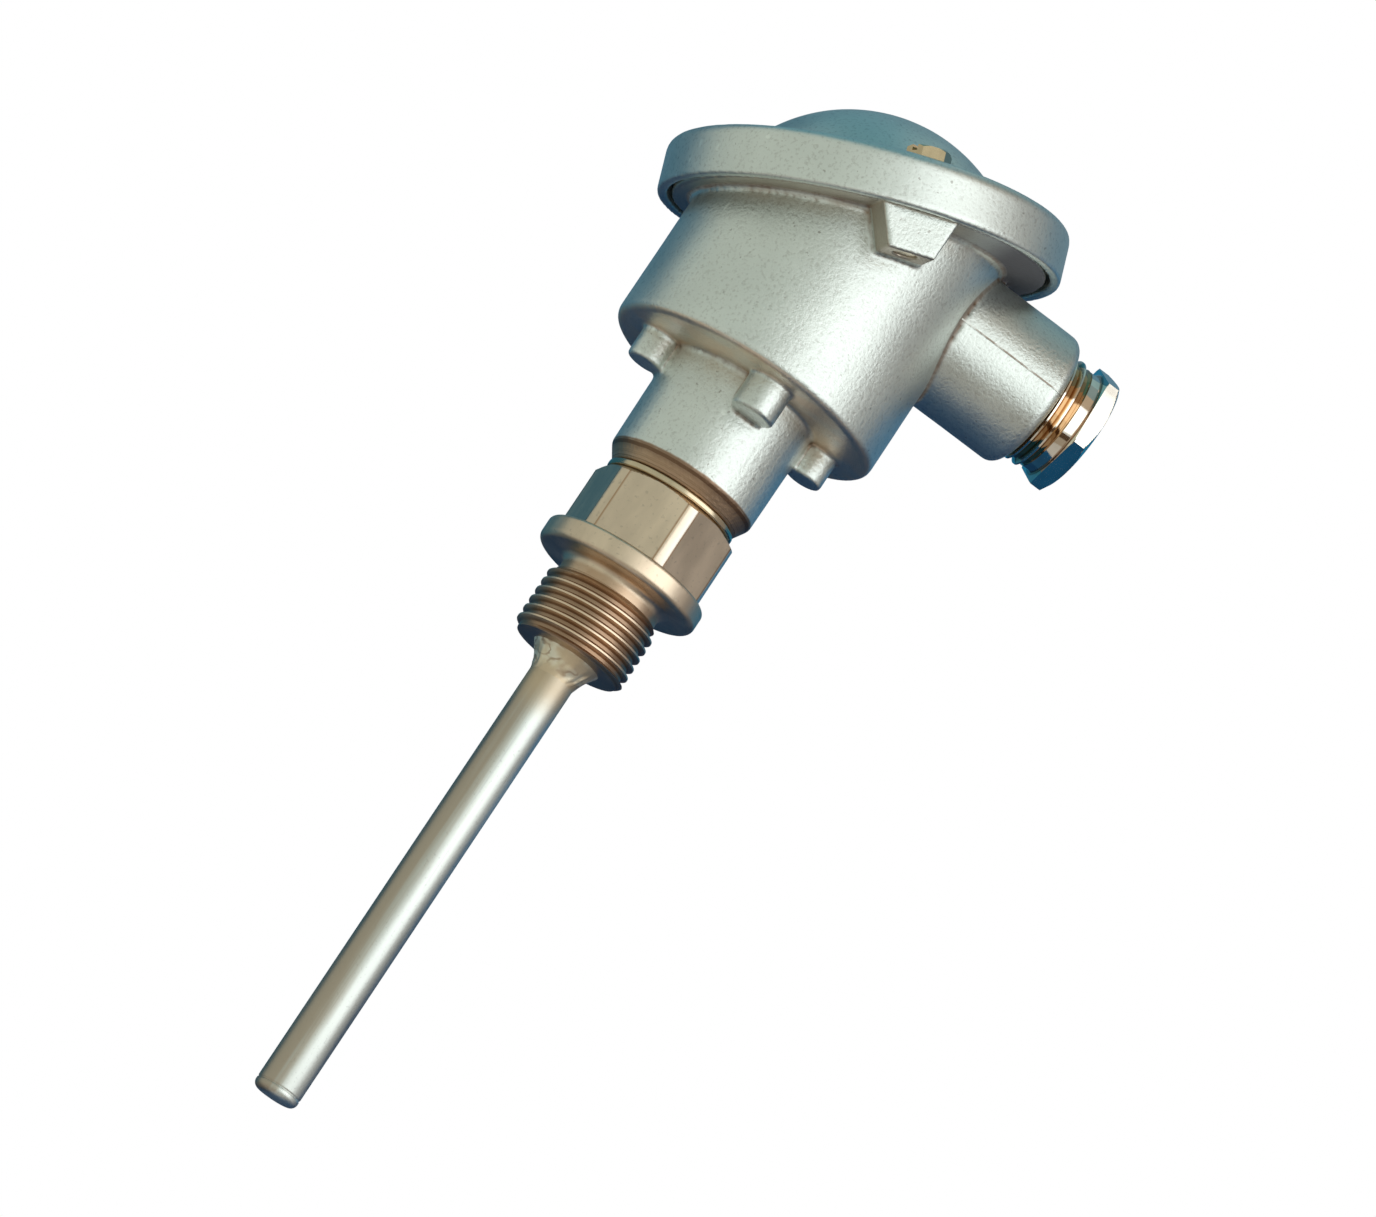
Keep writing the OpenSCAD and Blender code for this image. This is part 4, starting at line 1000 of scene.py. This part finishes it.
def make_floor():
    mesh = bpy.data.meshes.new("floor")
    corners = [(x * FLOOR_SIZE, y * FLOOR_SIZE, FLOOR_Z) for x, y in ((-1, -1), (1, -1), (1, 1), (-1, 1))]
    mesh.from_pydata(corners, [], [(0, 1, 2, 3)])
    material = bpy.data.materials.new("pale_floor")
    material.use_nodes = True
    shader = material.node_tree.nodes["Principled BSDF"]
    shader.inputs["Base Color"].default_value = FLOOR_COLOUR
    shader.inputs["Roughness"].default_value = 0.85
    mesh.materials.append(material)
    floor = link("floor", mesh)


def make_world():
    """White to the eye and in gloss, softer grey as light."""
    world = bpy.data.worlds.new("studio")
    bpy.context.scene.world = world
    world.use_nodes = True
    world.node_tree.nodes.clear()
    nodes = Nodes(world.node_tree)
    rays = nodes.node("ShaderNodeLightPath").socket.node.outputs
    eye, gloss, through = (
        Wire(nodes, rays[f"Is {kind} Ray"]) for kind in ("Camera", "Glossy", "Transmission"))
    strength = nodes.node("ShaderNodeMapRange", inputs={
        "Value": eye.larger(gloss).larger(through), "To Min": WORLD_LIGHT, "To Max": 1.0})
    light = nodes.node("ShaderNodeBackground", inputs={"Color": (1, 1, 1), "Strength": strength})
    nodes.node("ShaderNodeOutputWorld", inputs={"Surface": light})


# ---- operators ----

class PROBE_OT_stage(bpy.types.Operator):
    """Make the camera, world, floor, lamp and reflecting cards"""

    bl_idname = "probe.stage"
    bl_label = "Stage"

    def execute(self, context):
        make_camera()
        make_world()
        make_floor()
        make_key_lamp()
        for card in CARDS:
            add_card(*card)
        context.scene.view_settings.view_transform = "Standard"
        return {"FINISHED"}


class PROBE_OT_castings(bpy.types.Operator):
    """Round the cast head and lid and add the casting's parting lines"""

    bl_idname = "probe.castings"
    bl_label = "Castings"

    def execute(self, context):
        cell = sizes().cast_cell
        make_casting("head_body", "head_casting", "head", body_finish(), cell)
        make_casting("head_cover", "cover_casting", "cover", cover_finish(), cell)
        for side in (-1, 1):
            make_seam(side)
        return {"FINISHED"}


class PROBE_OT_process_fitting(bpy.types.Operator):
    """Cut the pipe thread and turn collar and hexagon"""

    bl_idname = "probe.process_fitting"
    bl_label = "Process fitting"

    def execute(self, context):
        make_process_fitting()
        return {"FINISHED"}


class PROBE_OT_tube(bpy.types.Operator):
    """Draw the protective tube and weld it to the fitting"""

    bl_idname = "probe.tube"
    bl_label = "Protective tube"

    def execute(self, context):
        make_tube()
        make_weld()
        return {"FINISHED"}


class PROBE_OT_gland(bpy.types.Operator):
    """Cut the gland screw's thread and hexagon"""

    bl_idname = "probe.gland"
    bl_label = "Gland screw"

    def execute(self, context):
        make_gland_screw()
        return {"FINISHED"}


class PROBE_OT_springs(bpy.types.Operator):
    """Wind the two springs that press on the insert's plate"""

    bl_idname = "probe.springs"
    bl_label = "Insert springs"

    def execute(self, context):
        for number in (1, 2):
            make_insert_spring(number)
        return {"FINISHED"}


class PROBE_OT_finishes(bpy.types.Operator):
    """Give the remaining solids their finishes"""

    bl_idname = "probe.finishes"
    bl_label = "Finishes"

    def execute(self, context):
        nickel = plated_finish("nickel_plate", tint(shade(colours().nickel, 0.62), STRAW, 0.7), 0.05)
        ring = plated_finish("ring_plate", tint(shade(colours().nickel, 0.8), STRAW, 0.6), 0.16)
        brass = plated_finish("bare_brass", colours().brass, 0.22)
        zinc = plated_finish("zinc_plate", colours().zinc, 0.28)
        steel = steel_finish("insert_steel", colours().zinc, 0.26)
        ceramic, rubber = ceramic_finish(), rubber_finish()
        kinds = {
            "neck_seal_ring": ring, "cover_screw": nickel, "gland_thrust_ring": nickel,
            "cover_gasket": rubber, "gland_seal": rubber,
            "insert_sheath": steel, "insert_plate": zinc, "insert_bush": zinc, "lead_wire": zinc,
            "insert_insulator": ceramic, "sensing_element": ceramic, "terminal_block": ceramic,
            "terminal_": brass, "lead_screw": brass, "clamp_screw": brass,
            "earth_": brass, "block_screw": zinc, "spring_screw": zinc,
        }
        for name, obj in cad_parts.items():
            match = [key for key in kinds if name.startswith(key)]
            if match:
                dress(obj, kinds[max(match, key=len)])
        return {"FINISHED"}


class PROBE_PT_looks(bpy.types.Panel):
    """Lists the pieces in the 3D view's sidebar"""

    bl_idname = "PROBE_PT_looks"
    bl_label = "Thermometer"
    bl_space_type = "VIEW_3D"
    bl_region_type = "UI"
    bl_category = "Thermometer"

    def draw(self, context):
        for group in (context.scene.probe_sizes, context.scene.probe_colours):
            for key in group.__annotations__:
                self.layout.prop(group, key)
        for operator in OPERATORS:
            self.layout.operator(operator.bl_idname)


OPERATORS = (
    PROBE_OT_stage, PROBE_OT_castings, PROBE_OT_process_fitting, PROBE_OT_tube, PROBE_OT_gland,
    PROBE_OT_springs, PROBE_OT_finishes,
)
CLASSES = (ProbeSizes, ProbeColours) + OPERATORS + (PROBE_PT_looks,)


def register():
    for cls in CLASSES:
        bpy.utils.register_class(cls)
    bpy.types.Scene.probe_sizes = bpy.props.PointerProperty(type=ProbeSizes)
    bpy.types.Scene.probe_colours = bpy.props.PointerProperty(type=ProbeColours)


def unregister():
    del bpy.types.Scene.probe_colours
    del bpy.types.Scene.probe_sizes
    for cls in reversed(CLASSES):
        bpy.utils.unregister_class(cls)


def main():
    register()
    for operator in OPERATORS:
        getattr(bpy.ops.probe, operator.bl_idname.split(".")[1])()


if __name__ == "__main__":
    main()
